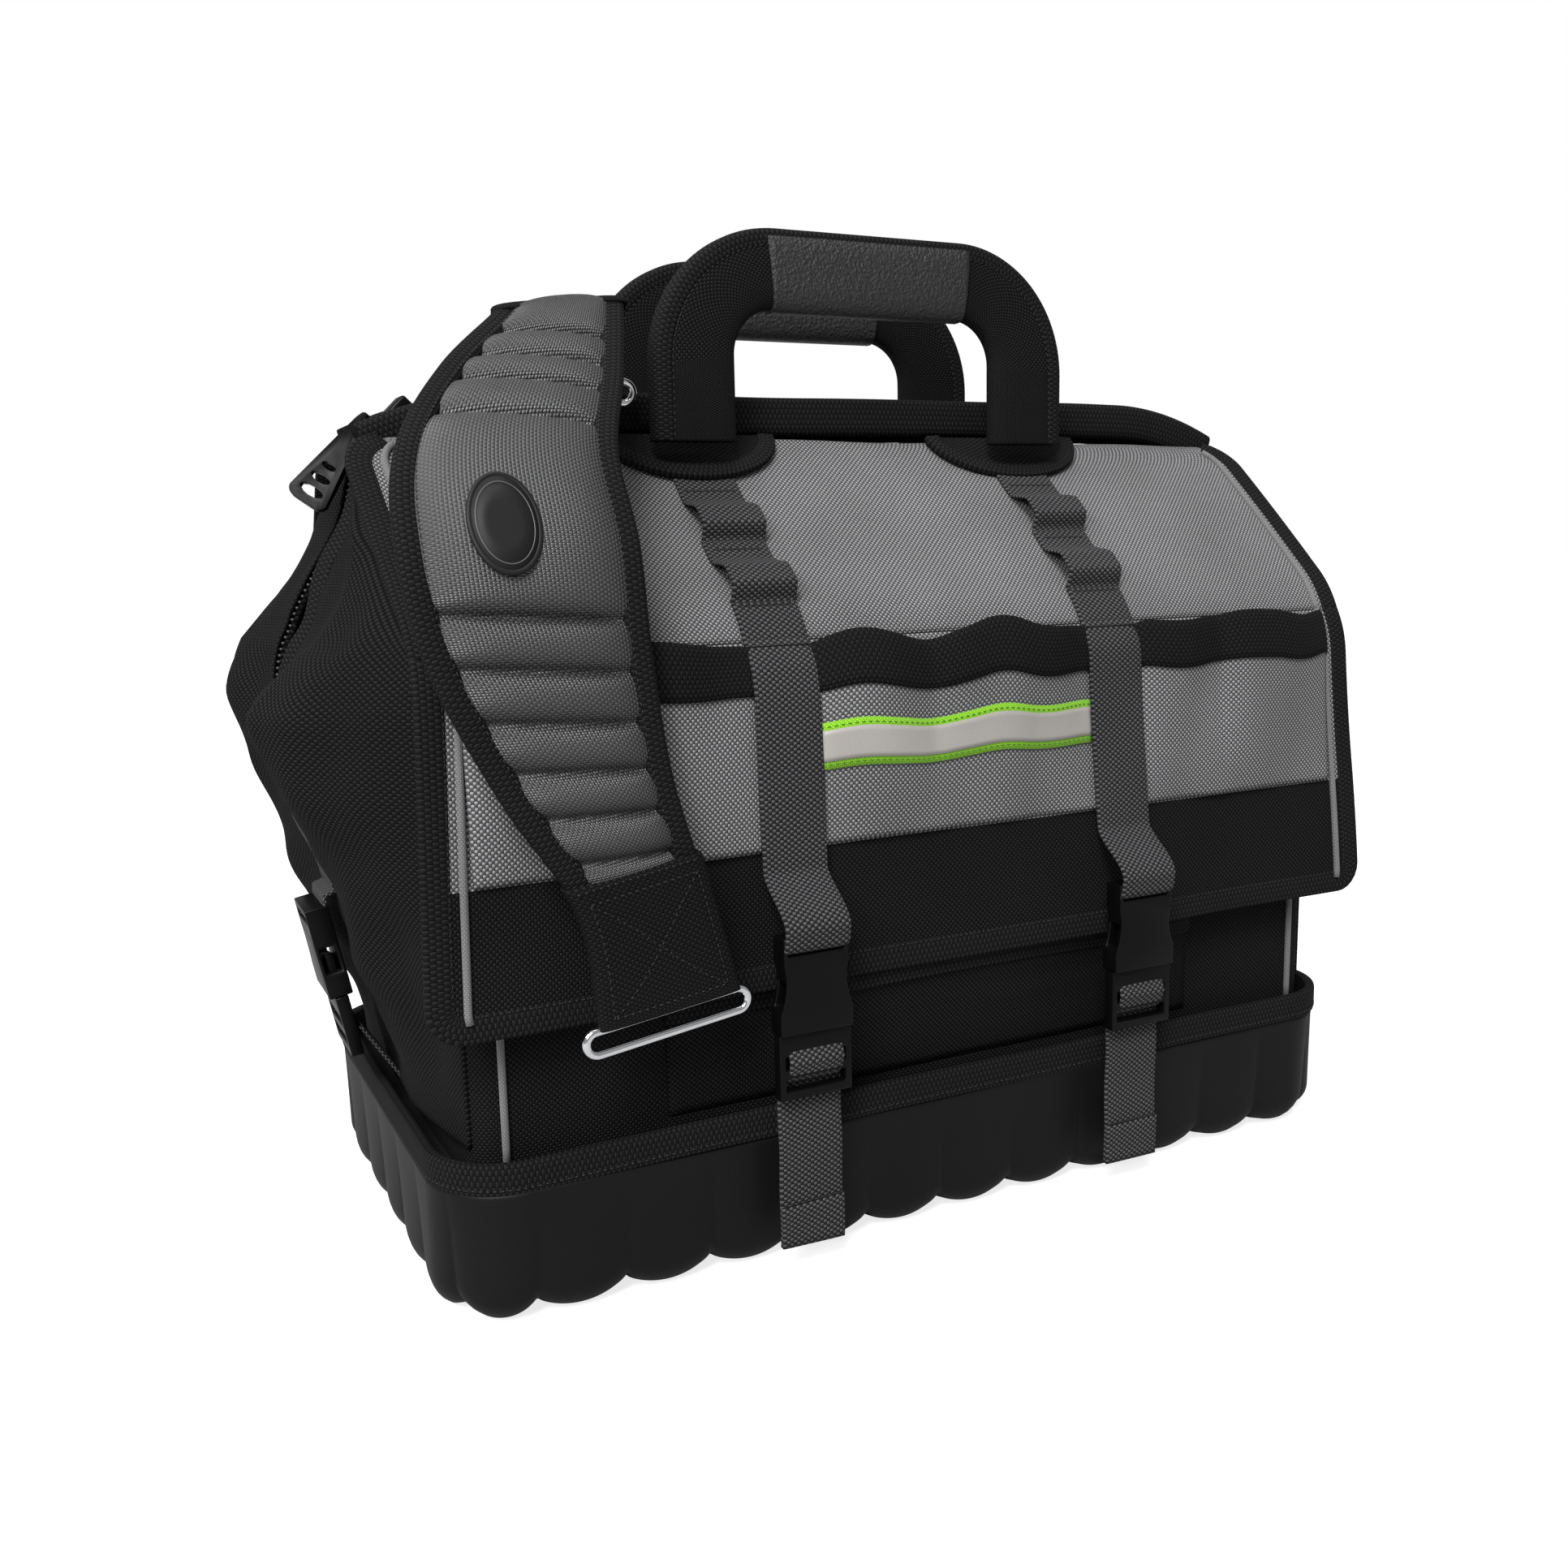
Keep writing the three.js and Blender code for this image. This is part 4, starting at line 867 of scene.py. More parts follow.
class MakeEnds(bpy.types.Operator):
    """Make the folding cloth ends, up to the zip's open edges"""

    bl_idname = "tool_bag.make_ends"
    bl_label = "Folding ends"

    def execute(self, context):
        sizes = context.scene.bag_sizes
        low, top = GUSSET_LOW.z - 4 * MM, ROOF_TOP.y + 2 * MM
        for name, end in ENDS:
            for side_name, side in SIDES:
                def across(u, v):
                    z = low + (top - low) * v
                    gap = zip_opening(end, z)
                    return side * (gap + (seam_out(z) - gap) * u), z

                half = shaped_grid(f"{name}_{side_name}_end_cloth", 56, 96,
                                   lambda u, v: end_point(end, *across(u, v)), across, ["black"],
                                   Vector((end, 0, 0)))
                thicken(half, CLOTH)
                wing = f"{name}_{side_name}_wing"
                if side == FRONT:
                    belongs(half, "root", "black", name + "_gusset", wing)
                else:
                    on_roof(half, side_name, "black", wing)
                self.zip_edge(sizes, name, end, side_name, side)
        return {"FINISHED"}

    def zip_edge(self, sizes, name, end, side_name, side):
        """The zip's tape and teeth where they run on down an end."""
        top = ROOF_TOP.y + 6 * MM
        path = []
        for i in range(41):
            z = ZIP_FOOT + (top - ZIP_FOOT) * i / 40
            y = side * max(0.9 * MM, zip_opening(end, z))
            path.append((end_point(end, y, z, 1 * MM), Vector((end, side * 0.6, 0.35)).normalized()))
        tape = [(p + Vector((0, side * 4 * MM, 0)), n) for p, n in path]
        strip = sweep(f"{name}_{side_name}_zip_edge", tape, stadium(10 * MM, 1.6 * MM), "binding")
        on_roof(strip, side_name, "binding")
        teeth = rows_of_blocks(f"{name}_{side_name}_zip_edge_teeth", [path], sizes.tooth_pitch,
                               (1.7 * MM, 2.6 * MM, 2.2 * MM), "teeth")
        on_roof(teeth, side_name, "teeth")


class MakeCovers(bpy.types.Operator):
    """Make the roof panels and flaps with their bindings, piping and handle patches"""

    bl_idname = "tool_bag.make_covers"
    bl_label = "Roof panels and flaps"

    def execute(self, context):
        sizes = context.scene.bag_sizes
        for name, side in SIDES:
            roof = cover_panel(name + "_roof_panel", side, 0, ROOF_LENGTH, 40, 0)
            on_roof(roof, name, "grey", name + "_roof")
            flap = cover_panel(name + "_flap_panel", side, ROOF_LENGTH - 0.5 * MM,
                               COVER_LENGTH - 1 * MM, 60, -0.1 * MM)
            self.blacken_below_pockets(flap)
            on_flap(flap, name, "grey", name + "_flap")
            self.edges(sizes, name, side)
            for end_name, end in ENDS:
                self.patch(name, side, end_name, end)
        return {"FINISHED"}

    def blacken_below_pockets(self, flap):
        """Gives the flap its black cloth below the pocket row."""
        for face in flap.data.polygons:
            face.material_index = 1 if face.center.z < ROW_LOW.z else 0

    def edges(self, sizes, name, side):
        """The binding, stitches and piping round a cover."""
        half = sizes.binding_width / 2
        tape = stadium(sizes.binding_width, sizes.binding_thickness)
        lift = -CLOTH / 2
        top_inset = half * 0.6
        hem = sweep(name + "_flap_binding", hem_path(side, top_inset, lift), tape, "binding")
        on_flap(hem, name, "binding")
        stitch = (2.0 * MM, 0.5 * MM, 0.5 * MM)
        seam = hem_path(side, sizes.binding_width * 0.72, sizes.binding_thickness / 2 + lift)
        on_flap(rows_of_blocks(name + "_flap_stitches", [seam], sizes.stitch_pitch, stitch, "thread"),
                name, "thread")
        for end_name, end in ENDS:
            path = edge_path(side, 1 * MM, ROOF_LENGTH, end, top_inset, lift)
            on_roof(sweep(f"{name}_{end_name}_roof_binding", path, tape, "binding"), name, "binding")
            path = edge_path(side, 6 * MM, ROOF_LENGTH, end, sizes.piping_inset, 0.6 * MM)
            on_roof(sweep(f"{name}_{end_name}_roof_piping", path, circle(sizes.piping_diameter),
                          "piping"), name, "piping")
            path = edge_path(side, ROOF_LENGTH - 0.5 * MM, COVER_LENGTH - 6 * MM, end,
                             sizes.piping_inset, 0.6 * MM)
            on_flap(sweep(f"{name}_{end_name}_flap_piping", path, circle(sizes.piping_diameter),
                          "piping"), name, "piping")

    def patch(self, name, side, end_name, end):
        """The half-round reinforcement under a handle's foot, bound along its curved edge."""
        half, depth = 43 * MM, 27 * MM
        middle = end * (HANDLE_HIGH.x + GRIP_HIGH.x + 12 * MM) / 2

        def point(share, fraction, lift):
            down = depth * math.sqrt(max(0.0, 1 - share * share)) * fraction
            return on_cover(side, middle + share * half, down, lift)

        sheet = shaped_grid(f"{name}_{end_name}_patch", 32, 8,
                            lambda u, v: point(math.sin((u - 0.5) * math.pi * 0.998), v, 3.6 * MM),
                            (2 * half, depth), ["black"], Vector((0, side, 1)))
        on_roof(thicken(sheet, 2 * MM), name, "black")
        path = []
        for i in range(41):
            share = math.sin((i / 40 - 0.5) * math.pi)
            path.append((point(share, 1.0, 2.8 * MM), cover_normal(side, 0)))
        on_roof(sweep(f"{name}_{end_name}_patch_binding", path, stadium(9 * MM, 4 * MM), "binding"),
                name, "binding")


# ---- Pockets -------------------------------------------------------------------------------------
POCKET_EDGES = (-ROW_HIGH.x, -STRAP_X - STRAP_HALF, -STRAP_X + STRAP_HALF, STRAP_X - STRAP_HALF,
                STRAP_X + STRAP_HALF, ROW_HIGH.x)


def pocket_lift(side, x, z):
    """How far a pocket's cloth stands off its flap: full at the mouth, and sewn down at the seams."""
    mouth = (z - ROW_LOW.z) / (ROW_HIGH.z - ROW_LOW.z)
    for low, high in (POCKET_EDGES[0:2], POCKET_EDGES[2:4], POCKET_EDGES[4:6]):
        if low < x < high:
            share = (x - low) / (high - low)
            swell = math.sin(math.pi * share) ** 0.5
            dent = 0.38 + 0.62 * abs(math.sin(math.pi * (1.7 * share + 0.55 + 0.2 * side)))
            return (13 * MM * swell * dent * max(0.0, mouth) ** 0.7
                    + wander(x * 2.6, z * 1.2, 41 + side, 5 * MM) * swell)
    return 0.0


def on_pocket(side, x, z, lift=0.0):
    """A point on the pockets' cloth, which sags between its seams."""
    mouth = max(0.0, (z - ROW_LOW.z) / (ROW_HIGH.z - ROW_LOW.z))
    sag = wander(x * 2.4, 0, 47 + side, 7 * MM) * mouth if pocket_lift(side, x, z) > 0 else 0
    down = down_to(z + sag)
    return on_cover(side, x, down, 1.9 * MM + cover_ripple(side, x, down)
                    + pocket_lift(side, x, z) + lift)


def pocket_strip(name, side, low_x, high_x, low_z, high_z, lift, thickness, finish, rows=6):
    """A band of tape that follows the pockets' cloth."""
    steps = max(12, round((high_x - low_x) / (3 * MM)))

    def place(u, v):
        return on_pocket(side, low_x + (high_x - low_x) * v, low_z + (high_z - low_z) * u, lift)

    size = (high_z - low_z, high_x - low_x)
    return thicken(shaped_grid(name, rows, steps, place, size, [finish], Vector((0, side, 0))),
                   thickness)


class MakePockets(bpy.types.Operator):
    """Make each flap's row of pockets, the webbing along their mouths and the reflective strip"""

    bl_idname = "tool_bag.make_pockets"
    bl_label = "Pockets"

    def execute(self, context):
        sizes = context.scene.bag_sizes
        for name, side in SIDES:
            half = ROW_HIGH.x
            low, high = ROW_LOW.z, ROW_HIGH.z

            def place(u, v):
                return on_pocket(side, (2 * u - 1) * half, low + (high - low) * v)

            row = shaped_grid(name + "_pockets", 150, 40, place, (2 * half, high - low), ["grey"],
                              Vector((0, side, 0)))
            on_flap(thicken(row, 1.4 * MM), name, "grey", name + "_pocket_row")
            band = pocket_strip(name + "_pocket_band", side, -half, half, high - sizes.band_height,
                                high + 1 * MM, 1.3 * MM, 1.6 * MM, "band")
            on_flap(band, name, "band")
            self.reflective_strip(sizes, name, side)
        return {"FINISHED"}

    def reflective_strip(self, sizes, name, side):
        """The silver tape on the middle pocket, between its lime edges."""
        middle = (ROW_LOW.z + ROW_HIGH.z) / 2 - 1 * MM
        low, high = middle - sizes.strip_height / 2, middle + sizes.strip_height / 2
        reach = POCKET_EDGES[3] + 1 * MM
        lime = pocket_strip(name + "_lime_ribbon", side, -reach, reach, low, high, 0.9 * MM, 0.8 * MM,
                            "lime")
        on_flap(lime, name, "lime")
        silver = pocket_strip(name + "_reflective_strip", side, -reach, reach, low + 3.5 * MM,
                              high - 3.5 * MM, 1.4 * MM, 0.8 * MM, "silver")
        on_flap(silver, name, "silver")
        seams = []
        for z in (low + 2 * MM, high - 2 * MM):
            seams.append([(on_pocket(side, -reach + 2 * reach * i / 60, z, 1.1 * MM),
                           Vector((0, side, 0))) for i in range(61)])
        on_flap(rows_of_blocks(name + "_lime_stitches", seams, sizes.stitch_pitch,
                               (1.9 * MM, 0.6 * MM, 0.5 * MM), "lime"), name, "lime")


# ---- Straps and buckles ----------------------------------------------------------------------------
LOOPS = (44 * MM, 84 * MM)
LOOP_LENGTH = 28 * MM


def loop_lift(down):
    """A tool loop rises slowly, and tucks back under itself at its lower end."""
    for start in LOOPS:
        share = (down - start) / LOOP_LENGTH
        if 0 < share < 1:
            rise = min(1.0, share / 0.55)
            fall = min(1.0, (1 - share) / 0.12)
            return 8.5 * MM * rise * rise * (3 - 2 * rise) * math.sqrt(fall)
    return 0.0


def strap_strip(name, path, finish="webbing", half=STRAP_HALF, thickness=WEBBING):
    """Webbing along a path of (point, normal) pairs."""
    return sweep(name, path, stadium(2 * half, thickness, 16, 0.3), finish)


class MakeStraps(bpy.types.Operator):
    """Make the straps with their tool loops, and the loose tails"""

    bl_idname = "tool_bag.make_straps"
    bl_label = "Straps"

    def execute(self, context):
        for name, side in SIDES:
            for end_name, end in ENDS:
                x = end * STRAP_X
                both = f"{name}_{end_name}"
                upper = []
                steps = 110
                for i in range(steps + 1):
                    down = 17 * MM + (ROOF_LENGTH - 17 * MM) * i / steps
                    lift = 1.3 * MM + loop_lift(down) + cover_ripple(side, x, down)
                    upper.append((on_cover(side, x, down, lift), cover_normal(side, down)))
                on_roof(strap_strip(both + "_upper_webbing", upper), name, "webbing",
                        both + "_upper_strap")
                lower = self.lower_path(side, x)
                on_flap(strap_strip(both + "_lower_webbing", lower), name, "webbing",
                        both + "_lower_strap")
                self.bar_tacks(both, name, side, x)
                self.tail(both, side, x)
        return {"FINISHED"}

    def lower_path(self, side, x):
        """Down the flap over the pockets, then out to the socket and round its bar."""
        path = []
        sewn = ROW_LOW.z - 10 * MM
        for i in range(46):
            z = FOLD.y - (FOLD.y - sewn) * i / 45
            settle = min(1.0, i / 6)
            lift = 1.6 * MM + 2.4 * MM * settle
            down = down_to(z)
            path.append((on_cover(side, x, down, lift + cover_ripple(side, x, down)),
                         cover_normal(side, down)))
        start = path[-1][0]
        end = Vector((x, side * (abs(SOCKET_LOW.y) + 1.6 * MM), SOCKET_HIGH.z + 1 * MM))
        for i in range(1, 25):
            t = i / 24
            ease = t * t * (3 - 2 * t)
            point = Vector((x, start.y + (end.y - start.y) * ease, start.z + (end.z - start.z) * t))
            bow = side * 3 * MM * math.sin(math.pi * t)
            path.append((point + Vector((0, bow, 0)), Vector((0, side, 0.25)).normalized()))
        # over the socket's top bar and back through its slot
        for forward, below, lean in ((1.2, 3, 0.0), (0.4, 5, -0.5), (-1.6, 6.4, -1.5), (-5, 7, -6)):
            point = Vector((x, side * (abs(SOCKET_LOW.y) + forward * MM), SOCKET_HIGH.z - below * MM))
            path.append((point, Vector((0, side, lean)).normalized()))
        return path

    def bar_tacks(self, both, name, side, x):
        """Dense rows of stitches where the strap is sewn down above and below its loops."""
        rows = []
        for down in (LOOPS[0] - 5 * MM, LOOPS[1] - 5 * MM, LOOPS[1] + LOOP_LENGTH + 4 * MM):
            rows.append([(on_cover(side, x + (2 * i / 8 - 1) * (STRAP_HALF - 3 * MM), down,
                                   2.7 * MM + cover_ripple(side, x, down)),
                          cover_normal(side, down)) for i in range(9)])
        on_roof(rows_of_blocks(both + "_loop_tacks", rows, 1.7 * MM, (1.4 * MM, 0.7 * MM, 0.5 * MM),
                               "thread"), name, "thread")

    def tail(self, both, side, x):
        """The loose end below a plug: it hangs flat, with its end folded over and sewn."""
        out = abs(TAIL_LOW.y + TAIL_HIGH.y) / 2
        low, high = TAIL_LOW.z, TAIL_HIGH.z
        path = []
        for i in range(30):
            z = high - (high - low) * i / 29
            sway = wander(z * 3, x, 53, 2 * MM) * min(1.0, i / 10)
            path.append((Vector((x + sway / 2, side * out, z)), Vector((0, side, 0))))
        strip = strap_strip(both + "_tail_webbing", path)
        belongs(strip, "root", "webbing", both + "_tail")
        hem = [(p + Vector((0, side * 1.6 * MM, 0)), n) for p, n in path[-7:]]
        belongs(strap_strip(both + "_tail_hem", hem), "root", "webbing")


class MakeBuckles(bpy.types.Operator):
    """Make the side-release buckles with their webbing turns"""

    bl_idname = "tool_bag.make_buckles"
    bl_label = "Buckles"

    def execute(self, context):
        for name, side in SIDES:
            for end_name, end in ENDS:
                both = f"{name}_{end_name}"
                socket = softened(both + "_socket", both + "_buckle_socket", 1.2 * MM, "plastic", 3)
                belongs(socket, name + "_flap", "plastic", both + "_socket")
                plug = softened(both + "_plug", both + "_buckle_plug", 0.6 * MM, "plastic")
                belongs(plug, both + "_plug", "plastic", both + "_plug")
                self.turns(both, side, end * STRAP_X)
        for end_name, end in ENDS:
            socket = softened(end_name + "_end_socket", end_name + "_end_buckle_socket", 1.2 * MM,
                              "plastic", 3)
            belongs(socket, "root", "plastic", end_name + "_end_socket")
            plug = softened(end_name + "_end_plug", end_name + "_end_buckle_plug", 0.6 * MM, "plastic")
            belongs(plug, end_name + "_end_plug", "plastic", end_name + "_end_plug")
            self.end_webbing(end_name, end)
        return {"FINISHED"}

    def turns(self, both, side, x):
        """Webbing laced over the plug's middle bar, which travels with the plug."""
        out = abs(PLUG_LOW.y + PLUG_HIGH.y) / 2
        top = PLUG_LOW.z + 30 * MM
        points = ((0.0, top - 4.5 * MM), (2.2 * MM, top - 8 * MM), (4.2 * MM, top - 13 * MM),
                  (2.2 * MM, top - 18.5 * MM), (-0.5 * MM, top - 22 * MM))
        path = []
        for i in range(25):
            t = i / 24 * (len(points) - 1)
            k = min(int(t), len(points) - 2)
            forward = points[k][0] + (points[k + 1][0] - points[k][0]) * (t - k)
            z = points[k][1] + (points[k + 1][1] - points[k][1]) * (t - k)
            path.append((Vector((x, side * (out + forward), z)), Vector((0, side, 0))))
        strip = strap_strip(both + "_plug_webbing", path, half=STRAP_HALF - 2.5 * MM)
        belongs(strip, both + "_plug", "webbing")

    def end_webbing(self, end_name, end):
        """The strap down an end to its socket, and the plug's anchor below."""
        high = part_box(end_name + "_end_strap")[1]
        socket_low, socket_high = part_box(end_name + "_end_socket")
        path = []
        for i in range(25):
            z = high.z - (high.z - socket_high.z + 6 * MM) * i / 24
            base = end_point(end, 0, z, 2.2 * MM)
            reach = max(abs(base.x), abs(socket_low.x + socket_high.x) / 2 if i > 18 else 0)
            path.append((Vector((end * reach, 0, z)), Vector((end, 0, 0.2)).normalized()))
        strip = strap_strip(end_name + "_end_webbing", path)
        belongs(strip, "root", "webbing", end_name + "_end_strap")
        plug_low, plug_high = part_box(end_name + "_end_plug")
        inner = min(abs(plug_low.x), abs(plug_high.x))
        foot = []
        for i in range(20):
            t = i / 19
            z = plug_low.z + 14 * MM - (plug_low.z + 14 * MM - 74 * MM) * t
            x = inner + 1 * MM - (inner + 1 * MM - BODY_END - 3 * MM) * t
            foot.append((Vector((end * x, 0, z)), Vector((end, 0, 0.3)).normalized()))
        belongs(strap_strip(end_name + "_end_anchor", foot), "root", "webbing")


# ---- Mouth: sleeves, zip, slider -------------------------------------------------------------------
class MakeMouth(bpy.types.Operator):
    """Make the mouth's sleeves, the zip and its slider and pull"""

    bl_idname = "tool_bag.make_mouth"
    bl_label = "Mouth and zip"

    def execute(self, context):
        sizes = context.scene.bag_sizes
        for name, side in SIDES:
            body = "root" if name == "front" else "rear_mouth"
            self.sleeve(name, side, body)
            self.tape(sizes, name, side, body)
        slider = softened("zip_slider", "zip_slider_body", 1.6 * MM, "plastic", 3)
        belongs(slider, "zip_slider", "plastic", "zip_slider")
        pull = softened("zip_pull", "zip_pull_tag", 0.8 * MM, "plastic")
        self.shape_pull(pull)
        belongs(pull, "zip_pull", "plastic", "zip_pull")
        return {"FINISHED"}

    def shape_pull(self, pull):
        """Narrows the pull's neck, flares its loose end, and turns it as it hangs from its loop."""
        low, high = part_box("zip_pull")
        hinge = Vector((high.x, 0, high.z))
        loose_end = Vector((low.x, 0, low.z))
        way = (loose_end - hinge).normalized()
        reach = (loose_end - hinge).length
        for vert in pull.data.vertices:
            share = max(0.0, (vert.co - hinge).dot(way) / reach)
            vert.co.y *= 0.45 + 0.75 * min(1.0, max(0.0, share - 0.1) / 0.6)
            turn = Matrix.Rotation(-1.15 * min(1.0, share / 0.25), 3, way)
            vert.co = hinge + turn @ (vert.co - hinge)

    def sleeve(self, name, side, body):
        """A mouth sleeve whose ends droop, and the rod inside it."""
        low, high = SLEEVE_LOW, SLEEVE_HIGH
        out = -(low.y + high.y) / 2
        deep, tall = high.y - low.y, high.z - low.z
        path = []
        for i in range(121):
            x = low.x + (high.x - low.x) * i / 120
            ends = max(0.0, (abs(x) - 0.18) / (high.x - 0.18))
            drop = 15 * MM * ends * ends
            wave = wander(x, side, 61, 1.6 * MM)
            path.append((Vector((x, side * (out - 2 * MM * ends), (low.z + high.z) / 2 - drop + wave)),
                         Vector((0, side, 0))))
        piece = sweep(name + "_mouth_sleeve", path, stadium(tall, deep * 0.9, 20, 0.5), "binding")
        belongs(piece, body, "binding", name + "_sleeve")
        rod = sweep(name + "_rod", path[4:-4], circle(5 * MM, 12), "steel")
        belongs(rod, body, "steel", name + "_mouth_rod")

    def tape(self, sizes, name, side, body):
        """Half of the zip along the mouth: its tape and its teeth."""
        low, high = TEETH_LOW, TEETH_HIGH
        ridge = []
        for i in range(101):
            x = low.x + (high.x - low.x) * i / 100
            drop = 7 * MM * max(0.0, (abs(x) - 0.2) / 0.04) ** 2
            z = high.z - 1.4 * MM - drop + wander(x, 0, 71, 1.2 * MM)
            ridge.append((Vector((x, side * 1.1 * MM, z)), Vector((0, side * 0.5, 0.85)).normalized()))
        slope = [(p + Vector((0, side * 4.4 * MM, -4.2 * MM)), Vector((0, side * 0.7, 0.7)))
                 for p, _ in ridge]
        strip = sweep(name + "_zip_cloth", slope, stadium(11 * MM, 1.5 * MM), "zip_cloth")
        belongs(strip, body, "zip_cloth", name + "_zip_tape")
        teeth = rows_of_blocks(name + "_zip_teeth", [ridge], sizes.tooth_pitch,
                               (1.8 * MM, 2.4 * MM, 2.4 * MM), "plastic")
        belongs(teeth, body, "plastic")


# ---- Handles ---------------------------------------------------------------------------------------
LEG_SHARE = 0.4    # of the way from a foot to the middle of the bar, where the leg ends
BEND_SHARE = 0.75  # of the same way, where the bend ends
GRIP_START = 0.366  # of the way from foot to foot


def arch(share, half, top, radius):
    """x and z at a share of the way over a handle's outline, from its left foot to its right."""
    foot = HANDLE_LOW.z
    mirrored = share > 0.5
    way = 2 * (1 - share if mirrored else share)
    if way < LEG_SHARE:
        x, z = half, foot + (top - radius - foot) * way / LEG_SHARE
    elif way < BEND_SHARE:
        turn = math.pi / 2 * (way - LEG_SHARE) / (BEND_SHARE - LEG_SHARE)
        x, z = half - radius * (1 - math.cos(turn)), top - radius * (1 - math.sin(turn))
    else:
        x, z = (half - radius) * (1 - (way - BEND_SHARE) / (1 - BEND_SHARE)), top
    return Vector((x if mirrored else -x, z))


class MakeHandles(bpy.types.Operator):
    """Make the padded handles with their bindings and foam grips"""

    bl_idname = "tool_bag.make_handles"
    bl_label = "Handles"

    def execute(self, context):
        sizes = context.scene.bag_sizes
        half, top = HANDLE_HIGH.x, HANDLE_HIGH.z
        leg, bar = 42 * MM, 36 * MM
        outer_bend, inner_bend = 62 * MM, 22 * MM
        thick = HANDLE_HIGH.y - HANDLE_LOW.y
        run = 0.42  # about the length over a handle, for its weave
        section = [(2 * a, 2 * b) for a, b in stadium(1, 1, 36, 0.62)]
        girth = round_lengths([(a * leg / 2, b * thick / 2) for a, b in section])
        for name, side in SIDES:
            y = side * HANDLE_OUT

            def lines(share):
                outer = arch(share, half - 2 * MM, top - 1 * MM, outer_bend)
                inner = arch(share, half - leg, top - bar, inner_bend)
                return outer, inner

            def wrap(grow, low, high):
                def place(u, v):
                    share = low + (high - low) * v
                    outer, inner = lines(share)
                    across, lift = section[round(u * len(section)) % len(section)]
                    middle, reach = (outer + inner) / 2, (outer - inner) / 2
                    point = middle + reach * across * (1 + grow / reach.length)
                    return Vector((point.x, y + side * lift * (thick / 2 + grow), point.y))
                return place

            def measure(u, v):
                return girth[round(u * len(section))], v * run

            pad = shaped_grid(name + "_handle_pad", 36, 150, wrap(0, 0, 1), measure, ["black"])
            belongs(pad, name + "_handle", "black", name + "_handle")
            grip = shaped_grid(name + "_grip_foam", 36, 60, wrap(1.6 * MM, GRIP_START, 1 - GRIP_START),
                               measure, ["grip"])
            belongs(grip, name + "_handle", "grip", name + "_handle_grip")
            edge = []
            for i in range(161):
                outer, inner = lines(i / 160)
                way = (outer - inner).normalized()
                point = outer - way * 3 * MM
                edge.append((Vector((point.x, y, point.y)), Vector((0, side, 0))))
            tape = sweep(name + "_handle_binding", edge, stadium(11 * MM, 13.5 * MM, 20, 0.6), "binding")
            belongs(tape, name + "_handle", "binding")
            seams = []
            for lift in (-1, 1):
                seam = []
                for p, n in edge:
                    centre = Vector((0, p.y, HANDLE_LOW.z + 40 * MM))
                    inward = (centre - p).normalized()
                    seam.append((p + inward * 3.6 * MM + n * lift * 6.6 * MM, n * lift))
                seams.append(seam)
            belongs(rows_of_blocks(name + "_handle_stitches", seams, sizes.stitch_pitch,
                                   (2.1 * MM, 0.6 * MM, 0.6 * MM), "thread"), name + "_handle",
                    "thread")
        return {"FINISHED"}


# ---- Shoulder pad ------------------------------------------------------------------------------------
# Places along the pad, from its lower end up the front, over the fold at its top and down behind:
# x, distance in front of the middle plane, height, width, and how much its right edge rises.
PAD_ROUTE = (
    (-160, 150, 138, 60, 8), (-170, 149, 188, 54, 10), (-190.5, 147, 235, 72, 4), (-206, 145, 286, 91, 0),
    (-210, 137, 330, 98, 0), (-206, 114, 368, 92, 0), (-183, 76, 402, 82, 0), (-160, 44, 431, 63, 6),
    (-157, 38, 436, 60, 7), (-157, 34, 430, 58, 7), (-158, 34, 406, 58, 0),
)
BADGE_HALF = (13 * MM, 19.5 * MM)
BADGE_STATION = 4.15
PAD_START = 1.05  # the station where its cloth shows above the lower patch
PAD_FOLD = 7.6    # the station after which the pad turns over
CHANNELS = (1.36, 1.76, 2.14, 2.52, 2.93, 3.38, 5.38, 5.85, 6.22, 6.6)  # sewn across it, by station


def pad_station(at):
    """Every value of the route at a place between its stations, smoothly."""
    i = min(int(at), len(PAD_ROUTE) - 2)
    t = at - i
    rows = [PAD_ROUTE[min(max(k, 0), len(PAD_ROUTE) - 1)] for k in (i - 1, i, i + 1, i + 2)]
    values = []
    for a, b, c, d in zip(*rows):
        slope_in, slope_out = (c - a) / 2, (d - b) / 2
        values.append((2 * t**3 - 3 * t**2 + 1) * b + (t**3 - 2 * t**2 + t) * slope_in
                      + (3 * t**2 - 2 * t**3) * c + (t**3 - t**2) * slope_out)
    return [v * MM for v in values]


def pad_frame(at):
    """Centre, half of the way across, and outward normal at a place along the pad."""
    x, out, z, width, rise = pad_station(at)
    step = 0.02
    a = pad_station(max(0, at - step))
    b = pad_station(min(len(PAD_ROUTE) - 1, at + step))
    tangent = Vector((0, a[1] - b[1], b[2] - a[2])).normalized()
    normal = Vector((0, -tangent.z, tangent.y))
    return Vector((x, -out, z)), Vector((width / 2, 0, rise / 2)), normal


def pad_line(low, high, steps, across, lift, inset=0.0):
    """A line along the pad at a share across it, from -1 to 1, drawn in by inset."""
    path = []
    for i in range(steps + 1):
        centre, half, normal = pad_frame(low + (high - low) * i / steps)
        path.append((centre + half * across * (1 - inset / half.length) + normal * lift, normal))
    return path


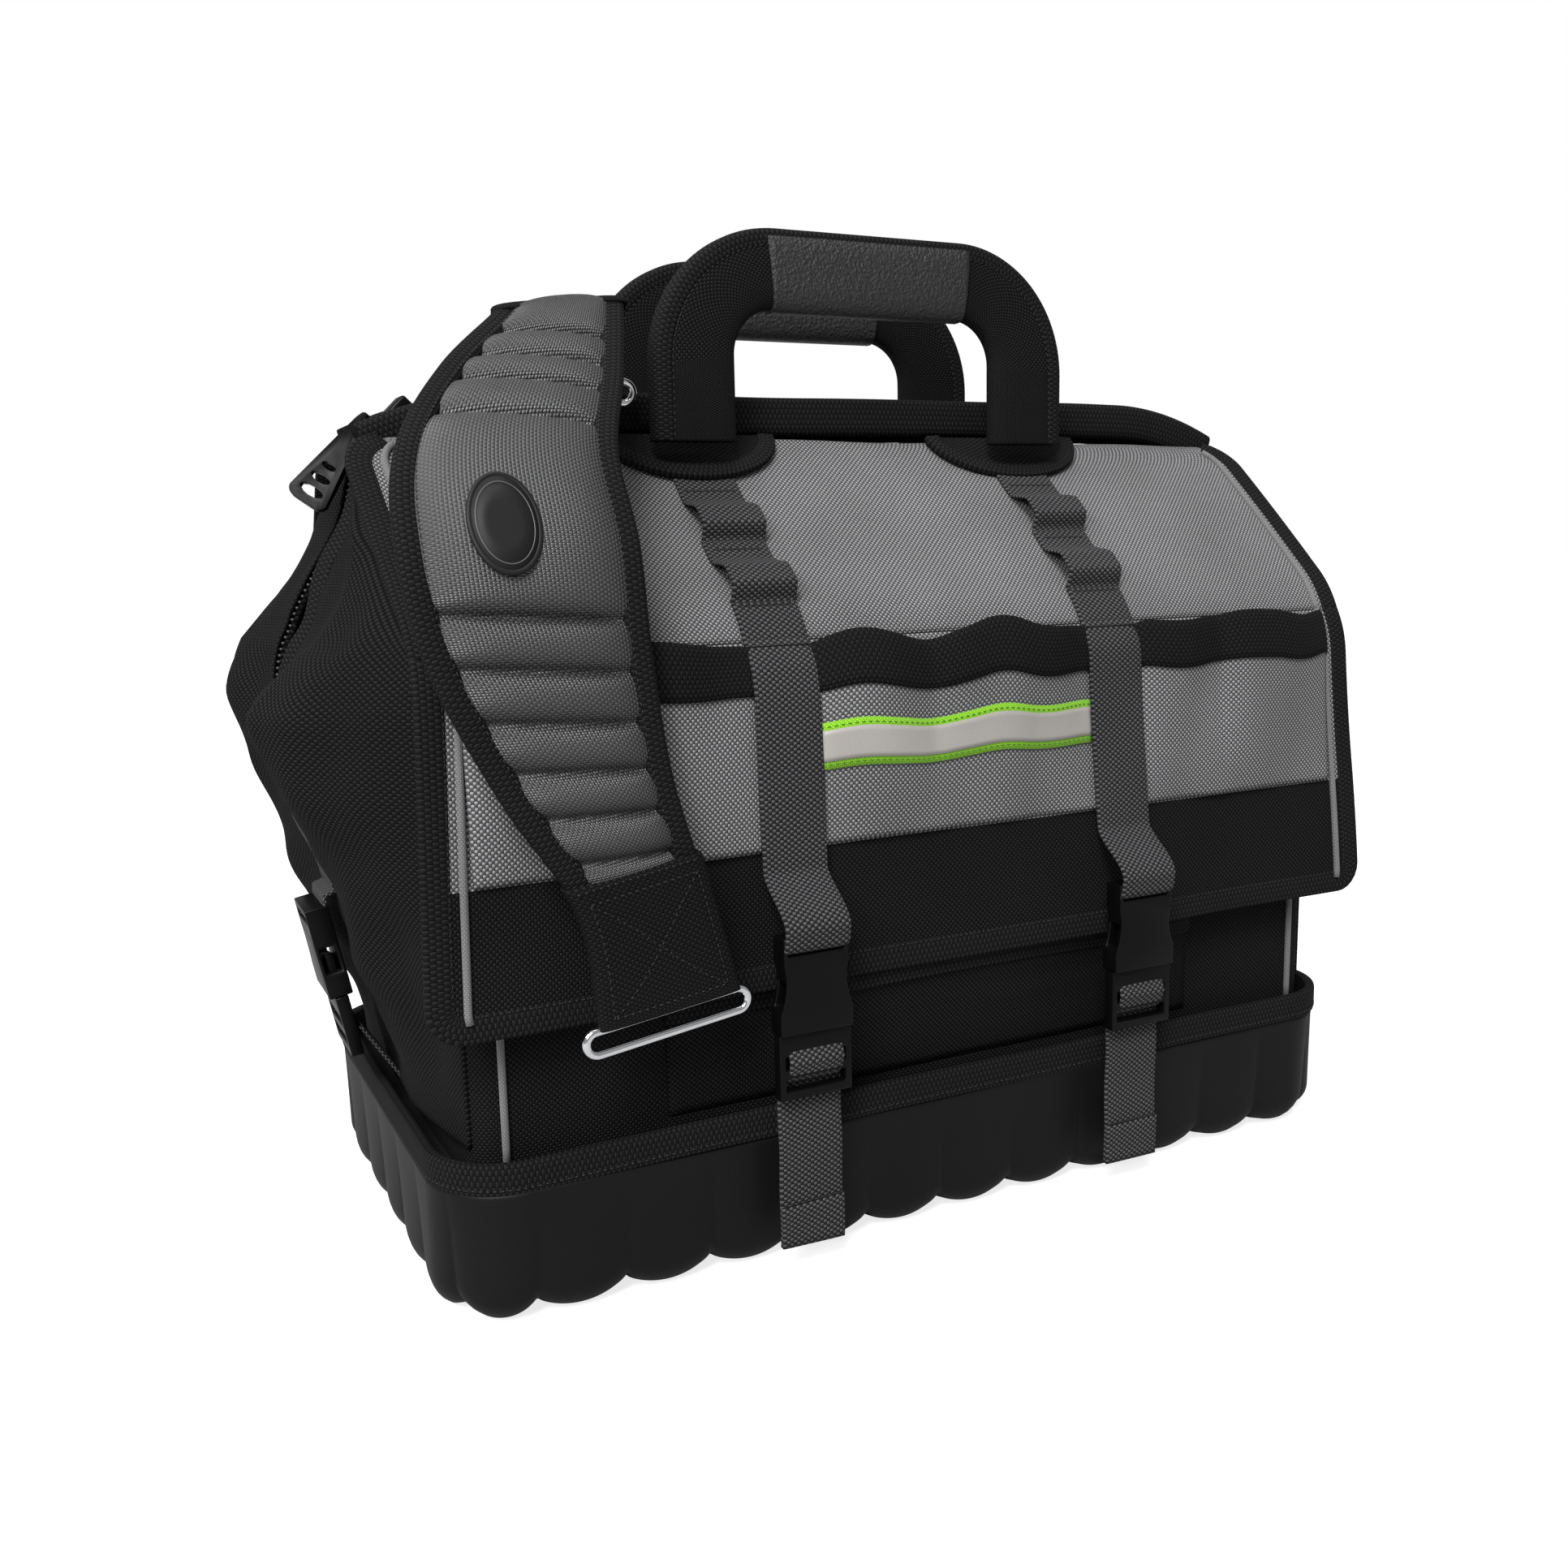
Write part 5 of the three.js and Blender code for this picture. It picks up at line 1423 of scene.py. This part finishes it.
class MakePad(bpy.types.Operator):
    """Make the shoulder pad with its channels, bindings, badge, patches and rings"""

    bl_idname = "tool_bag.make_pad"
    bl_label = "Shoulder pad"

    def execute(self, context):
        sizes = context.scene.bag_sizes
        last = len(PAD_ROUTE) - 1
        section = [(2 * a, 2 * b) for a, b in stadium(1, 1, 44, 0.7)]
        girth = round_lengths([(a * 42 * MM, b * 7 * MM) for a, b in section])

        def body(u, v):
            at = PAD_START + (PAD_FOLD - PAD_START) * v
            centre, half, normal = pad_frame(at)
            across, lift = section[round(u * len(section)) % len(section)]
            full = min(1.0, 0.5 + (at - PAD_START) / 0.5)
            thick = 6 * MM * full * (1 + 0.3 * math.exp(-((at - 4.2) / 1.1) ** 2)) * (1 - 0.45 * across**6)
            groove = sum(math.exp(-abs(at - c + 0.06 * across) / 0.06) for c in CHANNELS)
            inner = max(0.0, 1 - abs(across) ** 5)
            depth = sizes.channel_depth * groove * inner if lift > 0 else 0
            crown = 2.6 * MM * full * (1 - across * across) if lift > 0 else 0
            reach = 1 - 5 * MM / half.length
            return centre + half * across * reach + normal * (lift * thick + crown - depth)

        pad = shaped_grid("shoulder_pad", 44, 320, body,
                          lambda u, v: (girth[round(u * 44)], v * 0.36), ["pad"])
        self.across_fold(pad, "pad", "shoulder_pad_lower", "shoulder_pad_upper")
        for label, across in (("left", -1), ("right", 1)):
            tape = sweep(f"pad_{label}_binding", pad_line(PAD_START, PAD_FOLD, 150, across, 0, 5.4 * MM),
                         stadium(11 * MM, 8.5 * MM, 16, 0.6), "binding")
            self.across_fold(tape, "binding")
            seam = pad_line(PAD_START, PAD_FOLD, 150, across, 4.8 * MM, 9.2 * MM)
            stitches = rows_of_blocks(f"pad_{label}_stitches", [seam], sizes.stitch_pitch,
                                      (2.1 * MM, 0.6 * MM, 0.6 * MM), "thread")
            self.across_fold(stitches, "thread")
        self.patch(sizes, "pad_lower_patch", 0.0, 1.24, 2.2 * MM)
        self.patch(sizes, "pad_upper_patch", PAD_FOLD - 0.25, last, 2.6 * MM)
        self.badge()
        self.ring("pad_lower_ring", "pad_lower_ring")
        self.ring("pad_upper_ring", "pad_upper_ring")
        return {"FINISHED"}

    def across_fold(self, piece, finish, *nodes):
        """Bakes the placement of a piece of the pad into its mesh and hides its CAD nodes."""
        y = -PATCH_HIGH.y
        start, end = (0, y, FOLD.y), (0, y, FOLD.y - FOLD_ROUND)
        bends(piece, "front_flap", start, end, finish, *nodes)

    def patch(self, sizes, name, low, high, thick):
        """The black webbing patch that holds a ring, with a box and a cross sewn through it."""
        path = pad_line(low, high, 40, 0, 0.8 * MM)
        widths = [pad_frame(low + (high - low) * i / 40)[1] * 1.06 for i in range(41)]
        section = [(2 * a, 2 * b) for a, b in stadium(1, 1, 24, 0.4)]

        def place(u, v):
            i = round(v * 40)
            across, lift = section[round(u * 24) % 24]
            rise = 1 + 0.6 * i / 40 if name == "pad_lower_patch" else 1
            return path[i][0] + widths[i] * across + path[i][1] * lift * (thick + 2 * MM) * rise

        girth = round_lengths([(a * 32 * MM, b * 4 * MM) for a, b in section])
        sheet = shaped_grid(name, 24, 40, place, lambda u, v: (girth[round(u * 24)], v * 0.07), ["band"])
        self.across_fold(sheet, "band")
        if name != "pad_lower_patch":
            return

        def at(across, along):
            centre, half, normal = pad_frame(low + (high - low) * along)
            lift = (thick + 2 * MM) * (1 + 0.6 * along) + 0.9 * MM
            return centre + half * across + normal * lift, normal

        def line(a, b):
            return [at(a[0] + (b[0] - a[0]) * i / 20, a[1] + (b[1] - a[1]) * i / 20) for i in range(21)]

        corners = ((-0.86, 0.12), (0.86, 0.12), (0.86, 0.88), (-0.86, 0.88))
        lines = [line(a, b) for a, b in zip(corners, corners[1:] + corners[:1])]
        lines += [line(corners[0], corners[2]), line(corners[1], corners[3])]
        lines.append(line((-0.98, 0.97), (0.98, 0.97)))
        stitches = rows_of_blocks(name + "_stitches", lines, sizes.stitch_pitch,
                                  (2.2 * MM, 0.6 * MM, 0.6 * MM), "thread")
        self.across_fold(stitches, "thread")

    def badge(self):
        """An oval rubber badge: a blank panel inside a raised rim, with a thin light line within it."""
        centre, half, normal = pad_frame(BADGE_STATION)
        across = half.normalized()
        centre = centre + normal * 9.6 * MM - across * 8 * MM
        up = normal.cross(across)
        if up.z < 0:
            up = -up
        wide, tall = BADGE_HALF

        def oval(scale, lift, steps=64):
            points = []
            for i in range(steps):
                turn = 2 * math.pi * i / steps
                flat = across * wide * scale * math.cos(turn) + up * tall * scale * math.sin(turn)
                points.append((centre + flat + normal * lift, normal))
            return points

        def disc(u, v):
            turn = 2 * math.pi * u
            reach = min(1.0, v * 2)
            flat = across * wide * math.cos(turn) * reach + up * tall * math.sin(turn) * reach
            return centre + flat + normal * (1.2 * MM if v < 0.75 else -4 * MM)

        panel = shaped_grid("pad_badge", 64, 4, disc, (0.12, 0.02), ["badge"])
        belongs(panel, "root", "badge")
        line = sweep("pad_badge_line", oval(0.88, 1.1 * MM), circle(0.5 * MM), "badge_rim",
                     closed=True)
        belongs(line, "root", "badge_rim")
        lip = sweep("pad_badge_lip", oval(1.05, 0.2 * MM), stadium(2.4 * MM, 2.2 * MM, 10, 0.8),
                    "badge", closed=True)
        belongs(lip, "root", "badge")

    def ring(self, node, body):
        """A chrome wire ring with round ends, drawn along the middle of its CAD wire."""
        low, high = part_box(node)
        index = 0 if node == "pad_lower_ring" else len(PAD_ROUTE) - 1
        rise, width = PAD_ROUTE[index][4], PAD_ROUTE[index][3]
        tilt = math.atan2(rise, width)
        centre = (low + high) / 2
        along = Vector((math.cos(tilt), 0, math.sin(tilt)))
        up = Vector((-math.sin(tilt), 0, math.cos(tilt)))
        wire, long, tall = 4 * MM, 74 * MM, 10 * MM
        centre = centre + up * 5 * MM
        radius = tall / 2
        points = []
        for corner in (1, -1):
            middle = centre + along * corner * (long / 2 - radius)
            for i in range(17):
                turn = math.pi * (i / 16 - 0.5) + (0 if corner > 0 else math.pi)
                points.append((middle + along * radius * math.cos(turn) + up * radius * math.sin(turn),
                               Vector((0, -1, 0))))
        ring = sweep(node + "_wire", points, circle(wire, 16), "chrome", closed=True)
        belongs(ring, body, "chrome", node)


# ---- Stage -------------------------------------------------------------------------------------------
FLOOR_GLOW = 0.78   # what the camera sees on top of the floor's own light
WORLD_LIGHT = 0.3   # what the pale surroundings cast
LIGHTS = (          # name, kind, place, size (a sun's angle), power
    ("key", "SUN", (-1.1, -1.4, 2.2), 0.35, 2.7),
    ("near", "AREA", (-1.2, -1.1, 0.9), 0.4, 9),
    ("side", "AREA", (-1.5, -0.3, 1.3), 0.7, 9),
    ("top", "AREA", (-0.2, 0.2, 2.3), 1.6, 16),
)
LIGHT_TARGET = (0, 0, 0.2)
CAMERA_PLACE = (-0.378, -0.697, 0.333)
CAMERA_TURN = (26.6, 9.7, -1.3)  # degrees left of the front, above level, and of roll
CAMERA_LENS = 33.35


def aim(obj, target):
    """Turns a lamp towards a place."""
    obj.rotation_euler = (Vector(target) - obj.location).to_track_quat("-Z", "Y").to_euler()


class MakeStage(bpy.types.Operator):
    """Make the floor, the soft lights and the camera"""

    bl_idname = "tool_bag.make_stage"
    bl_label = "Stage"

    def glow(self, tree, socket, lighting, seen):
        """Gives a strength one value for the light it casts and another for how it looks itself."""
        ray = add_node(tree, "ShaderNodeLightPath").outputs["Is Camera Ray"]
        strength = add_node(tree, "ShaderNodeMapRange", {"To Min": lighting, "To Max": seen},
                            {"Value": ray})
        tree.links.new(strength.outputs["Result"], socket)

    def execute(self, context):
        colours = context.scene.bag_colours
        bm = bmesh.new()
        bmesh.ops.create_grid(bm, x_segments=1, y_segments=1, size=12)
        floor = piece_from(bm, "floor")
        material, _, shader = new_material("matt_paper_floor", Roughness=0.9, Specular_IOR_Level=0.1,
                                      Base_Color=(*colours.floor, 1), Emission_Color=(1, 1, 1, 1))
        self.glow(material.node_tree, shader.inputs["Emission Strength"], 0.0, FLOOR_GLOW)
        floor.data.materials.append(material)

        world = bpy.data.worlds.new("studio")
        world.use_nodes = True
        tree = world.node_tree
        background = tree.nodes["Background"]
        background.inputs["Color"].default_value = (1, 1, 1, 1)
        self.glow(tree, background.inputs["Strength"], WORLD_LIGHT, 1.0)
        context.scene.world = world
        context.scene.view_settings.view_transform = "Standard"
        for name, kind, place, size, power in LIGHTS:
            light = bpy.data.lights.new(name, kind)
            light.energy = power
            if kind == "SUN":
                light.angle = size
            else:
                light.size = size
            lamp = bpy.data.objects.new(name, light)
            lamp.location = place
            context.scene.collection.objects.link(lamp)
            aim(lamp, LIGHT_TARGET)

        azimuth, elevation, roll = (math.radians(a) for a in CAMERA_TURN)
        back = Vector((-math.sin(azimuth) * math.cos(elevation),
                       -math.cos(azimuth) * math.cos(elevation), math.sin(elevation)))
        right = (-back).cross(Vector((0, 0, 1))).normalized()
        up = right.cross(-back)
        right, up = (right * math.cos(roll) + up * math.sin(roll),
                     up * math.cos(roll) - right * math.sin(roll))
        lens = bpy.data.cameras.new("camera")
        lens.sensor_width = 36
        lens.lens = CAMERA_LENS
        camera = bpy.data.objects.new("camera", lens)
        axes = Matrix((right, up, back)).transposed().to_4x4()
        camera.matrix_world = Matrix.Translation(CAMERA_PLACE) @ axes
        context.scene.collection.objects.link(camera)
        context.scene.camera = camera
        return {"FINISHED"}


class ToolBagPanel(bpy.types.Panel):
    """Lists the bag's pieces"""

    bl_idname = "VIEW3D_PT_tool_bag"
    bl_label = "Tool Bag"
    bl_space_type = "VIEW_3D"
    bl_region_type = "UI"
    bl_category = "Tool Bag"

    def draw(self, context):
        for operator in OPERATORS:
            self.layout.operator(operator.bl_idname)
        for name in BagSizes.__annotations__:
            self.layout.prop(context.scene.bag_sizes, name)
        for name in BagColours.__annotations__:
            self.layout.prop(context.scene.bag_colours, name)


OPERATORS = (MakeStage, MakeTray, MakeBody, MakeEnds, MakeCovers, MakePockets, MakeStraps,
             MakeBuckles, MakeMouth, MakeHandles, MakePad)
GROUPS = (BagSizes, BagColours)


def register():
    for group in GROUPS:
        bpy.utils.register_class(group)
    bpy.types.Scene.bag_sizes = PointerProperty(type=BagSizes)
    bpy.types.Scene.bag_colours = PointerProperty(type=BagColours)
    for operator in OPERATORS:
        bpy.utils.register_class(operator)
    bpy.utils.register_class(ToolBagPanel)


def unregister():
    bpy.utils.unregister_class(ToolBagPanel)
    for operator in reversed(OPERATORS):
        bpy.utils.unregister_class(operator)
    del bpy.types.Scene.bag_colours
    del bpy.types.Scene.bag_sizes
    for group in reversed(GROUPS):
        bpy.utils.unregister_class(group)


def main():
    register()
    for operator in OPERATORS:
        family, name = operator.bl_idname.split(".")
        getattr(getattr(bpy.ops, family), name)()


if __name__ == "__main__":
    main()
